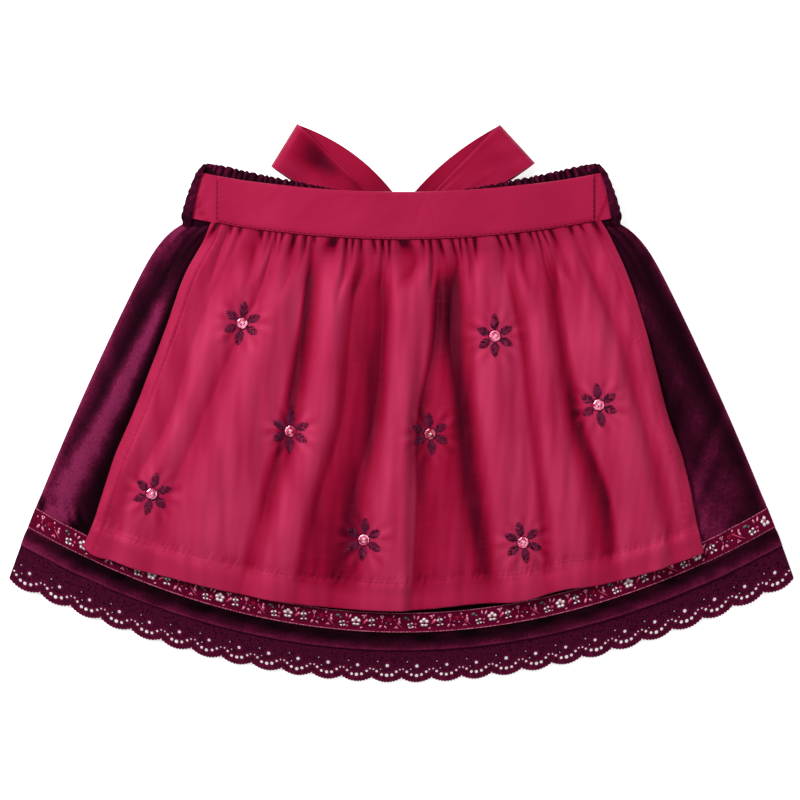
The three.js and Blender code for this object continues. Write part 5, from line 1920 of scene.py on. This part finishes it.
def petal_threads():
    draw = np.random.default_rng(7)
    runs, shares = [], []
    for flower in FLOWERS:
        for petal in range(6):
            turn = math.radians(90 + flower["turn"] + 60 * petal + draw.uniform(-5, 5))
            ahead = np.array([math.cos(turn), math.sin(turn)])
            side = np.array([-ahead[1], ahead[0]])
            upright = 0.8 if petal % 3 == 0 else -0.6
            end = PETAL_END + upright + draw.uniform(-0.5, 0.5)
            for outer in np.arange(PETAL_START + 0.5, end, THREAD_PITCH):
                for hand in (-1, 1):
                    t = (outer - PETAL_START) / (end - PETAL_START)
                    reach = PETAL_WIDTH / 2 * math.sin(math.pi * t ** 0.85) ** 0.65
                    reach = max(0.2, reach * draw.uniform(0.8, 1.06))
                    foot = ahead * max(PETAL_START, outer - reach * THREAD_SLANT - 0.3) - side * hand * 0.12
                    tip = ahead * outer + side * hand * reach
                    steps = np.linspace(0, 1, STRAND_STATIONS)[:, None]
                    plan = lerp(foot, tip, steps) + (flower["x"], flower["y"])
                    runs.append(np.concatenate([plan, 0 * steps], 1))
                    shares.append(draw.uniform(0, 0.95) ** 1.5)
        for stitch in range(RING_STITCHES):
            turns = TAU * (stitch + np.linspace(0, 1.2, STRAND_STATIONS)) / RING_STITCHES
            reach = RING_RADIUS + draw.uniform(-0.2, 0.3)
            ring_x, ring_y = flower["x"] + reach * np.cos(turns), flower["y"] + reach * np.sin(turns)
            runs.append(np.stack([ring_x, ring_y, 0 * turns], -1))
            shares.append(draw.uniform(0, 0.15))
    return runs, shares


petal_runs, petal_shares = petal_threads()
embroidery = strands("embroidered_flowers", petal_runs, 0.46, 0.42, PLUM_THREAD, petal_shares, apron_tree)

# %% [markdown]
# ## Sequins
# A faceted cup sequin sits in each flower, held by a bead. Nine flat sides run round it in rings,
# and each facet is a separate flat face, so that it mirrors as one.

# %% Faceted cups and beads
SEQUIN_RADIUS = 3.3
RINGS = [(0.55, 0.15), (1.75, 0.3), (2.7, 0.95), (SEQUIN_RADIUS, 0.75)]
FACETS = 9
SEQUIN_LIFT, SEQUIN_WALL = 0.45, 0.22
BEAD_RADIUS, BEAD_LIFT, BEAD_SQUASH = 0.95, 1.35, 0.8
BEAD_SIDES, BEAD_STEPS = 14, 9
# Facet colours for each kind of sequin: its pink with painted reflections, pale to deep.
SEQUIN_REFLECTED_TINTS = {
    "pink": [(255, 176, 204), (240, 120, 160), (160, 18, 66), (250, 150, 184), (226, 84, 130)],
    "rose": [(244, 120, 150), (196, 36, 82), (126, 8, 42), (250, 160, 186), (206, 54, 98)],
    "dark": [(176, 34, 64), (120, 8, 36), (84, 3, 24), (214, 90, 114), (146, 14, 48)],
}


def make_sequins():
    draw = np.random.default_rng(3)
    points, faces, tints, lays = [], [], [], []
    for flower in FLOWERS:
        ground = float(heights(apron_tree, flower["x"], flower["y"])) + SEQUIN_LIFT
        start = len(points)
        turns = draw.uniform(0, TAU) + np.arange(FACETS) * TAU / FACETS
        layers = RINGS + [(r, z - SEQUIN_WALL) for r, z in RINGS[::-1]]
        for radius, z in layers:
            for turn in turns:
                x = flower["x"] + radius * math.cos(turn)
                y = flower["y"] + radius * math.sin(turn)
                points.append((x, y, ground + z))
                lays.append((radius, turn, 0))
        for layer in range(len(layers)):
            after = (layer + 1) % len(layers)
            for k in range(FACETS):
                next_k = (k + 1) % FACETS
                faces.append((start + layer * FACETS + k, start + layer * FACETS + next_k,
                              start + after * FACETS + next_k, start + after * FACETS + k))
                # Each facet is painted one of these colours, as a painted reflection.
                choice = SEQUIN_REFLECTED_TINTS[flower["tint"]][int(draw.integers(0, 5))]
                tints.append(colour(*choice))
    every = np.array(faces)
    if signed_volume(np.array(points), every) < 0:
        every = every[:, ::-1]
    piece = new_piece("sequins", np.array(points), every, SEQUIN_FILM)
    piece.data.shade_flat()
    keep_tint(piece, "CORNER", tints, 4)
    keep_lay(piece, lays)
    print("sequins", len(FLOWERS))
    return piece


def bead_ball():
    """A squashed ball round its middle: one pole, rings of points downward, the other pole."""
    turn = np.arange(BEAD_SIDES) * TAU / BEAD_SIDES
    fall = np.arange(1, BEAD_STEPS)[:, None] * math.pi / BEAD_STEPS
    rings = [np.sin(fall) * np.sin(turn), np.sin(fall) * np.cos(turn), np.cos(fall) + 0 * turn]
    points = np.vstack([(0, 0, 1), np.stack(rings, -1).reshape(-1, 3), (0, 0, -1)])
    low = len(points) - 1
    faces = []
    for k in range(BEAD_SIDES):
        after = (k + 1) % BEAD_SIDES
        faces.append((0, 1 + after, 1 + k))
        for ring in range(1, low - BEAD_SIDES, BEAD_SIDES):
            below = ring + BEAD_SIDES
            faces.append((ring + k, ring + after, below + after, below + k))
        faces.append((low - BEAD_SIDES + k, low - BEAD_SIDES + after, low))
    return points * (BEAD_RADIUS, BEAD_RADIUS, BEAD_RADIUS * BEAD_SQUASH), faces


def make_beads():
    draw = np.random.default_rng(4)
    ball, ball_faces = bead_ball()
    points, faces = [], []
    for flower in FLOWERS:
        x, y = flower["x"] + draw.uniform(-0.3, 0.5), flower["y"] + draw.uniform(-0.1, 0.5)
        ground = float(heights(apron_tree, x, y))
        before = len(ball) * len(points)
        faces += [tuple(before + corner for corner in face) for face in ball_faces]
        points.append(ball + (x, y, ground + BEAD_LIFT))
    piece = new_piece("beads", np.concatenate(points), faces, BEAD_GLASS)
    keep_lay(piece, np.concatenate(points))
    return piece


sequins = make_sequins()
beads = make_beads()

# %% [markdown]
# ## Seams
# Sewing is what makes cloth look made. Topstitching runs along the band's lower edge and at both of
# its end seams, down the apron's side hems and along its wide bottom hem. A stitch is 2.2 mm of
# thread and a gap, three millimetres in all.

# %% Stitch lines
STITCH, STITCH_STEP = 2.2, 3.0


def stitch_line(line):
    """Stitches along a line of places (x, y), each as five places along it."""
    line = np.asarray(line, float)
    length = np.concatenate([[0], np.cumsum(np.hypot(*np.diff(line, axis=0).T))])
    starts = np.arange(0.6, length[-1] - STITCH, STITCH_STEP)
    at = starts[:, None] + np.linspace(0, STITCH, STRAND_STATIONS)[None, :]
    x, y = np.interp(at, length, line[:, 0]), np.interp(at, length, line[:, 1])
    return np.stack([x, y, np.zeros_like(x)], -1)


def side_hem_line(hand):
    down = np.linspace(0.01, HEM_LINE, 120)
    left, right = apron_sides(down)
    across = SIDE_HEM / (right - left)
    return np.stack(apron_place(across if hand < 0 else 1 - across, down), -1)


HEM_LINE = 1 - BOTTOM_HEM / APRON_LENGTH
across_hem = np.linspace(0.004, 0.996, 400)
bottom_line = np.stack(apron_place(across_hem, np.full(400, HEM_LINE)), -1)
apron_lines = (bottom_line, side_hem_line(-1), side_hem_line(1))
apron_runs = np.concatenate([stitch_line(line) for line in apron_lines])
stitch_draw = np.random.default_rng(9)
apron_stitches = strands("apron_stitches", apron_runs, 0.36, 0.16, CRIMSON_THREAD,
                         stitch_draw.uniform(0.65, 1, len(apron_runs)), apron_tree)

band_x = np.linspace(BAND_LEFT + 1, BAND_RIGHT - 1, 300)
band_edge = np.stack([band_x, band_bottom(band_x) + BAND_STITCH_INSET], -1)
band_runs = [stitch_line(band_edge)]
for end in (BAND_LEFT + 0.8, BAND_RIGHT - 0.8):
    end_y = np.linspace(float(band_bottom(end)) + 1.5, float(band_top(end)) - 1.2, 40)
    band_runs.append(stitch_line(np.stack([np.full(40, end), end_y], -1)))
band_runs = np.concatenate(band_runs)
band_stitches = strands("band_stitches", band_runs, 0.5, 0.24, CRIMSON_THREAD,
                        stitch_draw.uniform(0, 0.3, len(band_runs)), band_tree)

# %% [markdown]
# ## Join each piece
# Every piece rides on the one body of this garment, and each cloth stands for its solid, which is
# hidden.

# %% Join pieces to the frame
def join(piece, node):
    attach(piece, "root")
    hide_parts(node)


join(skirt_front, "skirt_front")
join(skirt_back, "skirt_back")
join(waist_front, "casing_front")
join(waist_back, "casing_back")
join(loop_left, "belt_loop_left")
join(loop_right, "belt_loop_right")
join(ribbon_front, "trim_front")
join(ribbon_back, "trim_back")
join(lace_front, "lace_front")
join(lace_back, "lace_back")
join(apron, "apron_panel")
join(band, "apron_band")
join(tie_left, "tie_left")
join(tie_right, "tie_right")
join(bow_left, "bow_loop_left")
join(bow_right, "bow_loop_right")
join(tail_left, "bow_tail_left")
join(tail_right, "bow_tail_right")

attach(knot, "root")
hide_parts("bow_knot")

for piece, finish in ((embroidery, "embroidery"), (sequins, "sequin"), (beads, "sequin"),
                      (flowers_front, "ribbon"), (flowers_back, "ribbon"),
                      (apron_stitches, "taffeta"), (band_stitches, "taffeta")):
    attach(piece, "root")
